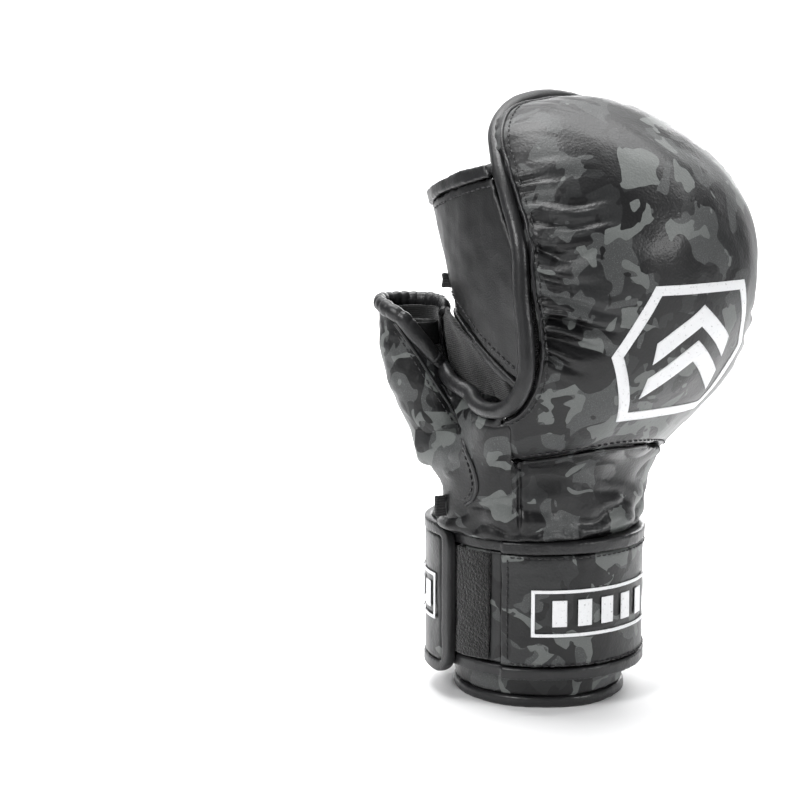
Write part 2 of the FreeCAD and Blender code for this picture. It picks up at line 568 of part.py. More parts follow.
def make_sleeve():
    front = slab(0, FAR * 1.5).cut(behind_face(-SLEEVE_CLEAR))
    hood_edge = rolled(HOOD_PIPING_PATH, PIPING + 0.8)
    hood_edge_on_travel = [hood_edge.rotated(FINGER_PIVOT, V(1, 0, 0), FINGER_CURL * share)
                           for share in (0.0, 0.25, 0.5, 0.75, 1.0)]
    between = above_edge(SLEEVE_FOOT).cut(above_edge(SLEEVE_RIM)).common(front)
    wall = shell(SLEEVE, 0, SLEEVE_SKIN, SLEEVE_SQUARENESS)
    lining = shell(SLEEVE, SLEEVE_SKIN + GAP, SLEEVE_SKIN + GAP + LINING, SLEEVE_SQUARENESS)
    bound = shell(SLEEVE, -1.3, SLEEVE_SKIN + LINING + 1.3, SLEEVE_SQUARENESS).common(front)
    rim = bound.common(above_edge(SLEEVE_RIM, 0.2)).cut(above_edge(SLEEVE_RIM, 6.0))
    foot = bound.common(above_edge(SLEEVE_FOOT, -4.8)).cut(above_edge(SLEEVE_FOOT, -0.2))
    inside = lofted(inset(SLEEVE, SLEEVE_SKIN + LINING + 2 * GAP), SLEEVE_SQUARENESS)
    loops = [finger_loop(x).common(inside) for x in LOOP_CENTRES]
    side_tab = Part.makeBox(5.5, 1.2, 11.0, V(-48.5, 8.5, 181.0)).cut(lofted(SLEEVE, SLEEVE_SQUARENESS))
    skins = {"finger_panel": wall.common(between), "finger_lining": lining.common(between),
             "finger_rim_binding": rim, "finger_foot_binding": foot}
    for name in skins:
        for edge in hood_edge_on_travel:
            skins[name] = skins[name].cut(edge)
    return {**skins, "finger_loops": Part.makeCompound(loops), "side_tab": side_tab}


def main():
    os.makedirs("parts", exist_ok=True)
    groups = (make_cuff, make_band, make_strap, make_tab, make_hood, make_gauntlet, make_thumb, make_sleeve)
    for make in groups:
        for name, shape in make().items():
            largest = max(solid.Volume for solid in shape.Solids)
            solids = [solid for solid in shape.Solids if solid.Volume > 0.02 * largest]
            kept = solids[0] if len(solids) == 1 else Part.makeCompound(solids)
            kept.exportStep("parts/" + name + ".step")
            box = kept.BoundBox
            print(f"{name:24s} {len(solids):2d} solids {kept.Volume / 1000:8.2f} cm3  valid {kept.isValid()}  "
                  f"x {box.XMin:.1f}..{box.XMax:.1f} y {box.YMin:.1f}..{box.YMax:.1f} "
                  f"z {box.ZMin:.1f}..{box.ZMax:.1f}")


main()
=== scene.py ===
import math

import bmesh
import bpy
import numpy as np
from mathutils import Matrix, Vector
from mathutils.bvhtree import BVHTree


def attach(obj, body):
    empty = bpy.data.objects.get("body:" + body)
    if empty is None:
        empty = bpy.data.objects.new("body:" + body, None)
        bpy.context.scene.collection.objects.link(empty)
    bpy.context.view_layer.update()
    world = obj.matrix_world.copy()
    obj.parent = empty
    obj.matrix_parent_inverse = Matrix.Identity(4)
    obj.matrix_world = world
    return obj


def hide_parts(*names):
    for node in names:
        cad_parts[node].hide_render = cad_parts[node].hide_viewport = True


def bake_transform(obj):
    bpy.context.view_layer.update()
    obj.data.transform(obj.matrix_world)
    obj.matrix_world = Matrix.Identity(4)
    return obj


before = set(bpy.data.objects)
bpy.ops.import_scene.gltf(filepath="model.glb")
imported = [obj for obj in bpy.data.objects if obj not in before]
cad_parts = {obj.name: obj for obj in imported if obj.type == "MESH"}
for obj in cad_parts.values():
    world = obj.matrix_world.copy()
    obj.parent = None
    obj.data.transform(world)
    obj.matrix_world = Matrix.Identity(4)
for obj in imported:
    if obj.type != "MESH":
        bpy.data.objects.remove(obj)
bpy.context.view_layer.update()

# A right-hand padded MMA glove, in metres. +Z points to the fingertips, -Y is the back of the hand, +Y the
# palm and -X the thumb's side. The wrist's axis is the Z axis. Lists of points are in millimetres.
MM = 0.001
UP = np.array([0, 0, 1])
LEVEL = np.array([1, 1, 0])    # times a point, this is its level part

# The middle line of the hood's rolled piping, as in the CAD model
PIPING_ROUTE = [
    (-54, -12, 140.5), (-58.3, -20.5, 137.2), (-60.5, -30, 136.2), (-60.5, -39, 137.6),
    (-60.5, -46.5, 143), (-60.2, -51, 152), (-60, -51.3, 165), (-60, -48.5, 184),
    (-59, -45.5, 206), (-56, -35.5, 224), (-51, -25, 238), (-41, -13, 251.5),
    (-24, -5, 261.5), (0, -1.5, 265.5), (24, 1, 263), (43, -2, 254), (58, -11, 240),
    (68.5, -19.5, 223), (75.5, -28.5, 206), (78, -34, 188), (76.5, -35, 168),
    (73, -34, 150), (67.5, -28, 136), (62, -16, 126.5),
]
LINK_END = (-53, -4.5, 142.2)    # beyond its first point, where it meets the link to the thumb's mouth
PIPING_RADIUS = 3.5 * MM
WELT_RADIUS = 0.75 * MM
# The seam between the hood and the gauntlet, seen from the back: x and height
SEAM_ROUTE = [(-60, 111), (-30, 115), (3, 116), (35, 111), (62, 102)]
# The middle line of the binding round the palm window
WINDOW_ROUTE = [(-30, 22.5, 116), (-14, 27, 116), (8, 28.5, 116), (30, 26.5, 116), (45, 20, 117),
                (56, 10, 120), (61.5, -4, 123.5)]

WRIST_HINGE_Z = 80 * MM        # the hand tilts on the cuff about X here
CUFF_SEAT_Z = 76.2 * MM        # the gauntlet's lower end, on top of the wrist band's binding
GAUNTLET_SOFT_Z = 97 * MM      # above here the gauntlet keeps the CAD model's shape
HOOD_SWELL = 4.5 * MM          # how far the cloth may swell at most
GATHER_LAYERS = ((8.8, 40, 3.7, 13), (5, 25, 2.2, 15))    # pitch, reach and height in mm, and seed
FLAP_LOW, FLAP_HIGH = 204 * MM, 253 * MM
FLAP_SWELL = np.array([-3, 9, 0]) * MM    # how far the knit flap bulges at its middle
LABEL_LIFT = 0.45 * MM         # the printed marks stand this far out of the leather
THUMB_ROOT_Z = 120 * MM        # below here the thumb is stretched down, under the gauntlet's skin
THUMB_MIDDLE = np.array([-46, 27, 0]) * MM    # the middle of the thumb's tube, for its folds
THUMB_CENTRE = np.array([-48.3, 31, 0]) * MM    # and at its mouth, which opens towards OUT_OF_SIDE
TOWARDS_FINGERS = np.array([1, -1, 0]) / math.sqrt(2)
OUT_OF_SIDE = np.array([-1, -1, 0]) / math.sqrt(2)
# The thumb's rolled mouth and the near edge of its opening, from its centre: towards the fingers, out of the
# side, and height
THUMB_ROLL = [
    (12.5, 10.3, 149), (8.5, 13.6, 154.5), (2.5, 15.8, 162.5), (-3.5, 15.6, 169.5), (-9.5, 12.8, 173.5),
    (-14.3, 6.4, 175.6), (-15.5, -1.5, 176.2), (-12.7, -9.2, 176.2), (-5.8, -14.5, 176), (3, -15.2, 175.8),
    (9.4, -10, 175.4), (12.7, -3.8, 174.5), (13.2, 0.5, 171),
]
# The thumb's seam, seen from its side: distance towards the fingers from the wrist's axis, and height
THUMB_SEAM = [(-63.5, 168), (-59, 162.3), (-52, 151.9), (-45.5, 141.5), (-39.4, 131.9), (-31.5, 117.9),
              (-27.1, 103.8), (-27.9, 95.8), (-31.8, 91.3)]
# The gusset by the thumb's seam, in millimetres. Its top edge, below the piping, and its foot, over the
# gauntlet, are each distances towards the fingers and the heights there. Its side is by the hood.
GUSSET_GRID = 1
GUSSET_TOP = ([-46, -40, -34, -30, -25, -19, -15, -12, -8],
              [145, 143.5, 142, 139.5, 137, 135.5, 134.5, 130, 122])
GUSSET_FOOT = [-46, -32, -27, -20, -12], [91, 91, 92, 94, 96]
GUSSET_SIDE = -11.5
GUSSET_REACH = 123             # below this height the gusset runs on under the thumb's seam
GUSSET_BRIDGE = -38            # from here towards the hood it also spans places with nothing behind it
GUSSET_FAR = 300               # its rays start this far out
GAUNTLET_SEAMS = -149, -31, 128, 52    # bearings of its seams, in degrees
GAUNTLET_WAIST = 4.5 * MM      # how far the gauntlet draws in on the thumb's side
# The knit web's two sides: on the thumb's far wall, and along the sleeve's foot
WEB_FAR_SIDE = [(-37.8, 22.3, 174), (-37.6, 22.1, 162), (-36.6, 21, 150), (-34.3, 18.7, 138)]
WEB_NEAR_SIDE = [(-44, 14, 173.5), (-53, -2, 169), (-54, -16, 161), (-53.5, -32, 150), (-52.5, -40, 138)]
# The joints of pieces across two bodies: the two bodies, and where the turn starts and ends
GUSSET_JOINT = ("hand", "thumb", (-0.0431, -0.0064, 0.120), (-0.0544, 0.0050, 0.124))
THUMB_JOINT = ("hand", "thumb", (-0.036, 0.016, 0.108), (-0.041, 0.021, 0.124))
GAUNTLET_JOINT = ("cuff", "hand", (0, 0, 0.0765), (0, 0, 0.094))
STRAP_JOINT = ("cuff", "strap", (0.0461, 0.0065, 0.0455), (0.0430, 0.0230, 0.0455))
TAB_JOINT = ("strap", "strap_tab", (-0.0054, 0.0515, 0.0455), (-0.0240, 0.0500, 0.0455))
# The free end of the strap: its end's bearing from the wrist's axis, its radius, half width and corner radius
TAB_END_BEARING = math.radians(171.0)
TAB_REACH = 48.5 * MM
TAB_MIDDLE_Z = 45.0 * MM
TAB_HALF_WIDTH = 34.0 * MM
TAB_CORNER = 11.0 * MM
BAND_RADIUS = 46.95 * MM       # the wrist band's outside, where its stitches lie


# ---- Numbers in space ----
def unit(rows):
    """Each row at length 1."""
    return rows / np.linalg.norm(rows, axis=1)[:, None]


def lumps(points, size, seed, stretch=(1.0, 1.0, 1.0), waves=18):
    """Smooth irregular values of about -1 to 1, one for each point, with lumps about size across."""
    draw = np.random.default_rng(seed)
    heading = unit(draw.normal(size=(waves, 3)))
    pace = 2 * math.pi / (2 * size * draw.uniform(0.7, 1.6, waves))
    phase = draw.uniform(0, 2 * math.pi, waves)
    angle = (np.asarray(points) * np.array(stretch)) @ (heading * pace[:, None]).T + phase
    return np.sin(angle).sum(1) / math.sqrt(waves)


def eased(value, low, high):
    """0 below low, 1 above high, and smooth between."""
    t = np.clip((value - low) / (high - low), 0, 1)
    return t * t * (3 - 2 * t)


def smooth_route(points, steps=10):
    """Points close together on a smooth curve through the given ones."""
    p = np.array(points, float)
    p = np.vstack([2 * p[:1] - p[1:2], p, 2 * p[-1:] - p[-2:-1]])
    rows = []
    for a, b, c, d in zip(p, p[1:], p[2:], p[3:]):
        for step in range(steps):
            t = step / steps
            rows.append(0.5 * (2 * b + (c - a) * t + (2 * a - 5 * b + 4 * c - d) * t ** 2
                               + (3 * b - a - 3 * c + d) * t ** 3))
    rows.append(p[-2])
    return np.array(rows)


def smoothed_line(line, rounds):
    line = line.copy()
    for _ in range(rounds):
        line[1:-1] = (line[:-2] + 2 * line[1:-1] + line[2:]) / 4
    return line


def beside(points, route):
    """For each point: its distance from a route, and how far along the route its nearest point lies."""
    step = np.diff(route, axis=0)
    length = np.linalg.norm(step, axis=1)
    start = np.concatenate([[0], np.cumsum(length)[:-1]])
    best = np.full(len(points), 1e9)
    place = np.zeros(len(points))
    for a, d, n, s in zip(route, step, length, start):
        t = np.clip((points - a) @ d / (n * n), 0, 1)
        away = np.linalg.norm(points - (a + t[:, None] * d), axis=1)
        nearer = away < best
        best[nearer] = away[nearer]
        place[nearer] = s + t[nearer] * n
    return best, place


# ---- Meshes ----
def placed(name, data):
    obj = bpy.data.objects.new(name, data)
    bpy.context.scene.collection.objects.link(obj)
    return obj


def placed_shape(name, shape):
    """An object with the mesh of a bmesh, which is then freed."""
    mesh = bpy.data.meshes.new(name)
    shape.to_mesh(mesh)
    shape.free()
    return placed(name, mesh)


def coords(obj, kind="co"):
    out = np.zeros(len(obj.data.vertices) * 3, np.float32)
    obj.data.vertices.foreach_get(kind, out)
    return out.reshape(-1, 3).astype(float)


def set_coords(obj, points):
    obj.data.vertices.foreach_set("co", np.asarray(points, np.float32).ravel())
    obj.data.update()


def normals(obj):
    return coords(obj, "normal")


def applied(obj, kind, **settings):
    """Adds one modifier and keeps its result as the object's mesh."""
    modifier = obj.modifiers.new(kind.title(), kind)
    for key, value in settings.items():
        setattr(modifier, key, value)
    graph = bpy.context.evaluated_depsgraph_get()
    mesh = bpy.data.meshes.new_from_object(obj.evaluated_get(graph))
    obj.modifiers.clear()
    old = obj.data
    obj.data = mesh
    bpy.data.meshes.remove(old)
    return obj


def smoothed(obj, rounds, keep_size=True):
    """Rounds a mesh off. With keep_size it doesn't shrink."""
    count = len(obj.data.vertices)
    pairs = np.zeros(len(obj.data.edges) * 2, np.int32)
    obj.data.edges.foreach_get("vertices", pairs)
    a, b = pairs.reshape(-1, 2).T
    degree = np.maximum(np.bincount(a, minlength=count) + np.bincount(b, minlength=count), 1)
    points = coords(obj)
    pulls = [0.5, -0.52] if keep_size else [0.5]
    for _ in range(rounds):
        for pull in pulls:
            total = np.stack([np.bincount(a, points[b, k], count) + np.bincount(b, points[a, k], count)
                              for k in range(3)], axis=1)
            points = points + pull * (total / degree[:, None] - points)
    set_coords(obj, points)
    return obj


def copied(name, nodes):
    """One mesh with the shapes of some CAD nodes."""
    joined = bmesh.new()
    for node in nodes:
        joined.from_mesh(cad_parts[node].data)
    bmesh.ops.remove_doubles(joined, verts=joined.verts, dist=1e-6)
    return placed_shape(name, joined)


def surface_of(obj):
    """A search tree of an object's surface."""
    mesh = obj.data
    return BVHTree.FromPolygons([v.co for v in mesh.vertices], [tuple(p.vertices) for p in mesh.polygons])


def surfaces(*names):
    return [surface_of(bpy.data.objects[name]) for name in names]


def first_hit(trees, start):
    """What a ray into the thumb's side meets first: place, direction, face and distance. None if nothing."""
    hits = [tree.ray_cast(Vector(start), Vector(-OUT_OF_SIDE)) for tree in trees]
    return min((hit for hit in hits if hit[0] is not None), key=lambda hit: hit[3], default=None)


def distance_to(points, tree):
    found = [tree.find_nearest(p)[3] for p in points]
    return np.array([1.0 if d is None else d for d in found])


def mesh_of(name, points, faces):
    mesh = bpy.data.meshes.new(name)
    mesh.from_pydata([tuple(p) for p in points], [], faces)
    mesh.update()
    return placed(name, mesh)


def swept(name, route, outward, profile):
    """A solid with a section along a route. The section is (out, side) pairs, out lying along outward."""
    count, ring = len(route), len(profile)
    ahead = unit(np.gradient(route, axis=0))
    out = unit(outward - (outward * ahead).sum(1)[:, None] * ahead)
    side = np.cross(ahead, out)
    points = np.concatenate([route[i] + np.array([o * out[i] + s * side[i] for o, s in profile])
                             for i in range(count)])
    faces = []
    for i in range(count - 1):
        for k in range(ring):
            m = (k + 1) % ring
            faces.append((i * ring + k, i * ring + m, (i + 1) * ring + m, (i + 1) * ring + k))
    faces.append(tuple(range(ring))[::-1])
    faces.append(tuple((count - 1) * ring + k for k in range(ring)))
    return mesh_of(name, points, faces)


def round_section(radius, sides, flat=1.0):
    return [(radius * flat * math.cos(2 * math.pi * k / sides), radius * math.sin(2 * math.pi * k / sides))
            for k in range(sides)]


def stitches(name, route, outward, bodies, pitch=3.0 * MM, length=2.2 * MM, thick=0.35 * MM):
    """A row of stitches along a route: small rounded threads that dip into the leather at their ends."""
    run = np.concatenate([[0], np.cumsum(np.linalg.norm(np.diff(route, axis=0), axis=1))])
    points, faces = [], []
    sides = 6
    section = [(math.cos(a), math.sin(a)) for a in np.linspace(0, 2 * math.pi, sides, endpoint=False)]
    # Along a stitch: how far, how high and how thick, as shares of its length and thickness
    rings = ((0, -0.6, 0.5), (0.2, 0.25, 0.95), (0.5, 0.5, 1.0), (0.8, 0.25, 0.95), (1, -0.6, 0.5))
    for middle in np.arange(pitch, run[-1] - pitch / 2, pitch):
        at = [np.interp(middle + s * length, run, route[:, k]) for s in (-0.5, 0.5) for k in range(3)]
        a, b = np.array(at[:3]), np.array(at[3:])
        up = np.array([np.interp(middle, run, outward[:, k]) for k in range(3)])
        ahead = (b - a) / np.linalg.norm(b - a)
        up -= (up @ ahead) * ahead
        up /= np.linalg.norm(up)
        side = np.cross(ahead, up)
        base = len(points)
        for share, lift, girth in rings:
            centre = a + (b - a) * share + up * thick * lift
            points += [centre + thick * girth * (c * up + s * side) for c, s in section]
        for low in range(base, base + sides * (len(rings) - 1), sides):
            for k in range(sides):
                m = (k + 1) % sides
                faces.append((low + k, low + m, low + sides + m, low + sides + k))
    return finished(mesh_of(name, points, faces), THREAD, bodies)


def puffed(obj, pressure, most, held, frames=20):
    """Blows a closed mesh up as cloth. Points with held at 1 stay, and none moves further than most."""
    rest = coords(obj)
    group = obj.vertex_groups.new(name="held")
    for level in (0.35, 1.0):
        group.add([int(i) for i in np.nonzero(held >= level)[0]], level, "REPLACE")
    cloth = obj.modifiers.new("Cloth", "CLOTH")
    cloth.settings.quality = 4
    cloth.settings.mass = 0.25
    cloth.settings.tension_stiffness = 12
    cloth.settings.compression_stiffness = 12
    cloth.settings.bending_stiffness = 0.4
    cloth.settings.use_pressure = True
    cloth.settings.uniform_pressure_force = pressure
    cloth.settings.vertex_group_mass = "held"
    cloth.settings.effector_weights.gravity = 0
    cloth.point_cache.frame_end = frames
    scene = bpy.context.scene
    for step in range(1, frames + 1):
        scene.frame_set(step)
    graph = bpy.context.evaluated_depsgraph_get()
    shape = obj.evaluated_get(graph).to_mesh()
    swollen = np.array([v.co for v in shape.vertices], float)
    obj.modifiers.clear()
    obj.vertex_groups.clear()
    scene.frame_set(1)
    move = swollen - rest
    far = np.linalg.norm(move, axis=1)
    move *= np.minimum(1, most / np.maximum(far, 1e-9))[:, None]
    set_coords(obj, rest + move)
    return obj


def finished(obj, finish, bodies, nodes=()):
    """Gives a piece its material, and hangs it on its body if bodies is one name. A piece with bodies (a, b,
    start, end) is left where it stands, and these four values are not used.
    """
    material, slot = finish
    obj.data.materials.clear()
    obj.data.materials.append(material)
    for face in obj.data.polygons:
        face.material_index = 0
    obj.data.shade_smooth()
    if isinstance(bodies, str):
        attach(obj, bodies)
    else:
        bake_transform(obj)
    if nodes:
        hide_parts(*nodes)
    return obj


def subdivided(obj, levels):
    return applied(obj, "SUBSURF", levels=levels, render_levels=levels)


def pushed(obj, amount):
    """Moves each point out along its own normal by its own amount."""
    set_coords(obj, coords(obj) + normals(obj) * amount[:, None])
    return obj


def soft_piece(name, nodes, voxel, rounds):
    """A closed soft mesh in the shape of some CAD nodes, with its edges rounded off."""
    obj = applied(copied(name, nodes), "REMESH", mode="VOXEL", voxel_size=voxel * MM)
    return smoothed(obj, rounds)


def soft_copy(name, nodes, voxel, rounds, finish, bodies, *ripples):
    """A finished soft piece, made uneven by ripples: each a height, a size and a seed, in millimetres."""
    obj = soft_piece(name, nodes, voxel, rounds)
    points = coords(obj)
    pushed(obj, sum(height * MM * lumps(points, size * MM, seed) for height, size, seed in ripples))
    return finished(obj, finish, bodies, nodes)


# ---- Materials ----
class Paint:
    """A material's node tree, built step by step."""

    def __init__(self, name):
        self.material = bpy.data.materials.new(name)
        self.material.use_nodes = True
        self.tree = self.material.node_tree
        self.shader = self.tree.nodes["Principled BSDF"]
        self.place = self.add("ShaderNodeTexCoord").outputs["Object"]

    def add(self, kind, links=None, **values):
        """A new node. values are its own settings, or its inputs' values with _ for each space."""
        node = self.tree.nodes.new(kind)
        for key, value in values.items():
            if hasattr(node, key):
                setattr(node, key, value)
            else:
                node.inputs[key.replace("_", " ")].default_value = value
        for socket, output in (links or {}).items():
            self.tree.links.new(output, node.inputs[socket])
        return node

    def noise(self, scale, detail=2.0, rough=0.5, distortion=0.0, place=None):
        node = self.add("ShaderNodeTexNoise", {"Vector": place or self.place}, Scale=scale, Detail=detail,
                        Roughness=rough, Distortion=distortion)
        return node.outputs["Fac"]

    def shifted(self, offset):
        node = self.add("ShaderNodeMapping", {"Vector": self.place}, Location=offset)
        return node.outputs["Vector"]

    def cells(self, scale):
        node = self.add("ShaderNodeTexVoronoi", {"Vector": self.place}, feature="SMOOTH_F1", Scale=scale)
        return node.outputs["Distance"]

    def step(self, value, low, high):
        """0 to 1 as value goes from low to high."""
        node = self.add("ShaderNodeMapRange", {"Value": value}, clamp=True, From_Min=low, From_Max=high)
        return node.outputs["Result"]

    def span(self, value, low, high):
        """low to high as value goes from 0 to 1."""
        node = self.add("ShaderNodeMapRange", {"Value": value}, clamp=True, To_Min=low, To_Max=high)
        return node.outputs["Result"]

    def sum(self, a, b, kind="ADD"):
        node = self.add("ShaderNodeMath", operation=kind)
        for index, value in enumerate((a, b)):
            if isinstance(value, (int, float)):
                node.inputs[index].default_value = value
            else:
                self.tree.links.new(value, node.inputs[index])
        return node.outputs[0]

    def mix(self, share, a, b):
        node = self.add("ShaderNodeMix", data_type="RGBA")
        self.tree.links.new(share, node.inputs["Factor"])
        for index, colour in ((6, a), (7, b)):
            if isinstance(colour, tuple):
                node.inputs[index].default_value = (*colour, 1)
            else:
                self.tree.links.new(colour, node.inputs[index])
        return node.outputs[2]

    def bump(self, height, distance, strength=1.0, under=None):
        node = self.add("ShaderNodeBump", {"Height": height}, Distance=distance, Strength=strength)
        if under is not None:
            self.tree.links.new(under, node.inputs["Normal"])
        return node.outputs["Normal"]

    def use(self, socket, value):
        if isinstance(value, (int, float)):
            self.shader.inputs[socket].default_value = value
        elif isinstance(value, tuple):
            self.shader.inputs[socket].default_value = (*value, 1)
        else:
            self.tree.links.new(value, self.shader.inputs[socket])


def leather_relief(paint, cell, crease):
    """Pebbled grain with fine creases under it."""
    creases = paint.bump(paint.noise(170, 4, 0.6, 0.4), crease, 0.7)
    grain = paint.cells(1 / cell)
    return paint.bump(grain, 0.00012, 0.75, creases)


def camo_leather():
    """Coated leather with a printed camouflage of four dark greys. Its pale patches get painted glints: fine
    specks of light grey in the colour, standing in for the sparkle of the pebbled grain.
    """
    paint = Paint("camo_leather")

    def patches(scale, level, place=None):
        return paint.step(paint.noise(scale, distortion=0.7, place=place), level, level + 0.005)

    dark = patches(42, 0.490)
    middle = patches(44, 0.532, paint.shifted((3.1, 0.4, 1.7)))
    light = patches(50, 0.585, paint.shifted((7.7, 5.2, 0.9)))
    black = patches(46, 0.560, paint.shifted((1.3, 8.8, 4.1)))
    colour = paint.mix(dark, (0.0045, 0.0045, 0.0050), (0.0150, 0.0155, 0.0160))
    colour = paint.mix(middle, colour, (0.045, 0.047, 0.047))
    colour = paint.mix(light, colour, (0.105, 0.112, 0.108))
    colour = paint.mix(black, colour, (0.0038, 0.0038, 0.0042))
    # Painted glints: fine specks of light grey mixed into the pale patches' colour, standing in for light
    # sparkling on the pebbled grain
    glint_speck = paint.step(paint.noise(2600, 1.0), 0.55, 0.75)
    pale = paint.sum(paint.sum(middle, light, "MAXIMUM"), paint.sum(1.0, black, "SUBTRACT"), "MULTIPLY")
    painted_glint = paint.sum(glint_speck, pale, "MULTIPLY")
    colour = paint.mix(paint.sum(painted_glint, 0.30, "MULTIPLY"), colour, (0.22, 0.23, 0.23))
    worn = paint.step(paint.noise(9, 3), 0.35, 0.75)
    paint.use("Base Color", colour)
    rough = paint.sum(paint.span(worn, 0.33, 0.45), paint.sum(pale, 0.09, "MULTIPLY"))
    paint.use("Roughness", rough)
    paint.use("Normal", leather_relief(paint, 0.00105, 0.00022))
    paint.use("Specular IOR Level", 0.42)
    return paint.material


def black_leather(name, tone, rough, cell=0.0008, crease=0.00018):
    paint = Paint(name)
    patchy = paint.step(paint.noise(60, 3), 0.3, 0.7)
    pale = (tone * 1.6, tone * 1.6, tone * 1.7)
    paint.use("Base Color", paint.mix(patchy, (tone, tone, tone * 1.05), pale))
    paint.use("Roughness", paint.span(paint.noise(35, 4), rough - 0.07, rough + 0.12))
    paint.use("Normal", leather_relief(paint, cell, crease))
    paint.use("Specular IOR Level", 0.45)
    return paint.material


def knit_fabric(name, tone, wales=1400):
    """A fine knit: rows of small loops, with fuzz."""
    paint = Paint(name)
    rows = paint.add("ShaderNodeTexWave", {"Vector": paint.place}, bands_direction="Z", Scale=wales / 4,
                     Distortion=1.5, Detail_Scale=3)
    loops = paint.cells(wales)
    fuzz = paint.noise(2300, 3, 0.7)
    height = paint.sum(paint.sum(rows.outputs["Fac"], loops), fuzz)
    shade = paint.step(height, 0.7, 1.9)
    paint.use("Base Color", paint.mix(shade, (tone * 0.5,) * 3, (tone * 1.7, tone * 1.7, tone * 1.75)))
    paint.use("Roughness", paint.span(fuzz, 0.82, 1.0))
    paint.use("Sheen Weight", 0.25)
    paint.use("Sheen Roughness", 0.5)
    paint.use("Specular IOR Level", 0.2)
    paint.use("Normal", paint.bump(height, 0.00025, 0.8))
    return paint.material


def pile_fabric(name, tone, size):
    """The fuzzy pile of a hook-and-loop fastener."""
    paint = Paint(name)
    tufts = paint.cells(1 / size)
    fuzz = paint.noise(1900, 5, 0.75)
    height = paint.sum(tufts, fuzz)
    paint.use("Base Color", paint.mix(paint.step(height, 0.6, 1.5), (tone * 0.4,) * 3, (tone * 2.2,) * 3))
    paint.use("Roughness", paint.span(fuzz, 0.85, 1.0))
    paint.use("Sheen Weight", 0.35)
    paint.use("Specular IOR Level", 0.15)
    paint.use("Normal", paint.bump(height, 0.0005, 1.0))
    return paint.material


def web_fabric():
    """Woven elastic: ribs across a ribbon."""
    paint = Paint("elastic_web")
    ribs = paint.add("ShaderNodeTexWave", {"Vector": paint.place}, bands_direction="Z", Scale=260)
    weave = paint.noise(1500, 2)
    height = paint.sum(ribs.outputs["Fac"], weave)
    paint.use("Base Color", paint.mix(paint.step(height, 0.4, 1.5), (0.004,) * 3, (0.022, 0.022, 0.023)))
    paint.use("Roughness", paint.span(weave, 0.6, 0.85))
    paint.use("Normal", paint.bump(height, 0.0003, 0.8))
    return paint.material


def thread():
    paint = Paint("black_thread")
    twist = paint.add("ShaderNodeTexWave", {"Vector": paint.place}, bands_direction="DIAGONAL", Scale=500)
    paint.use("Base Color", paint.mix(twist.outputs["Fac"], (0.006,) * 3, (0.030, 0.030, 0.032)))
    paint.use("Roughness", paint.span(paint.noise(900), 0.45, 0.7))
    paint.use("Normal", paint.bump(twist.outputs["Fac"], 0.0001, 0.8))
    return paint.material


def white_print():
    """Screen-printed ink with the leather's grain showing through, a little worn."""
    paint = Paint("white_print")
    wear = paint.step(paint.noise(700, 4, 0.7), 0.26, 0.40)
    paint.use("Base Color", paint.mix(wear, (0.16, 0.16, 0.165), (0.74, 0.745, 0.755)))
    paint.use("Roughness", paint.span(wear, 0.60, 0.42))
    paint.use("Normal", leather_relief(paint, 0.00105, 0.00010))
    return paint.material


def floor_paint():
    paint = Paint("pale_floor")
    paint.use("Base Color", paint.mix(paint.noise(3, 2), (0.86, 0.86, 0.865), (0.90, 0.90, 0.90)))
    paint.use("Roughness", 0.8)
    return paint.material


# Each finish is a material, and the slot of the record that it stands for
CAMO = camo_leather(), "camo_skin"
BINDING = black_leather("binding_leather", 0.0095, 0.34), "black_binding"
SMOOTH = black_leather("smooth_leather", 0.0062, 0.42, cell=0.0006, crease=0.00008), "black_skin"
LINING = knit_fabric("lining_knit", 0.012), "lining_fabric"
# A darker copy of the lining knit: painted shade for the shadowed hollow between the thumb and the fingers
SHADED_LINING_KNIT = knit_fabric("web_knit_painted_shade", 0.005), "lining_fabric"
LOOPS = pile_fabric("loop_pile", 0.006, 0.0011), "loop_fabric"
HOOKS = pile_fabric("hook_rows", 0.008, 0.0016), "hook_fabric"
WEB = web_fabric(), "elastic_web"
THREAD = thread(), "black_binding"
PRINT = white_print(), "white_print"


# ---- Hood ----
HOOD_NODES = ["hood_skin", "hood_foam_outer", "hood_foam_middle", "hood_foam_inner"]


def hood():
    """The padded hood, blown up between its seams, with gathers all along the piping."""
    obj = soft_piece("hood", HOOD_NODES, 3.2, 6)
    route = smooth_route(PIPING_ROUTE) * MM
    lining = surface_of(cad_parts["hood_lining"])
    points = coords(obj)
    from_face = distance_to(points, lining)
    from_piping, _ = beside(points, route)
    seam_x, seam_z = np.array(SEAM_ROUTE).T * MM
    over_seam = points[:, 2] - np.interp(points[:, 0], seam_x, seam_z)
    held = np.where((from_face < 3 * MM) | (over_seam < 3.5 * MM) | (from_piping < 6 * MM), 1.0, 0.0)
    pushed(obj, -1.2 * MM * eased(np.minimum(from_face, over_seam), 3 * MM, 14 * MM))
    puffed(obj, 4.0, HOOD_SWELL, held)
    smoothed(obj, 3)
    subdivided(obj, 2)
    points = coords(obj)
    from_piping, place = beside(points, route)
    on_back = eased(distance_to(points, lining), 2.0 * MM, 5.0 * MM)
    pushed(obj, on_back * gathers(points, from_piping, place) + on_back * dents(points))
    return obj


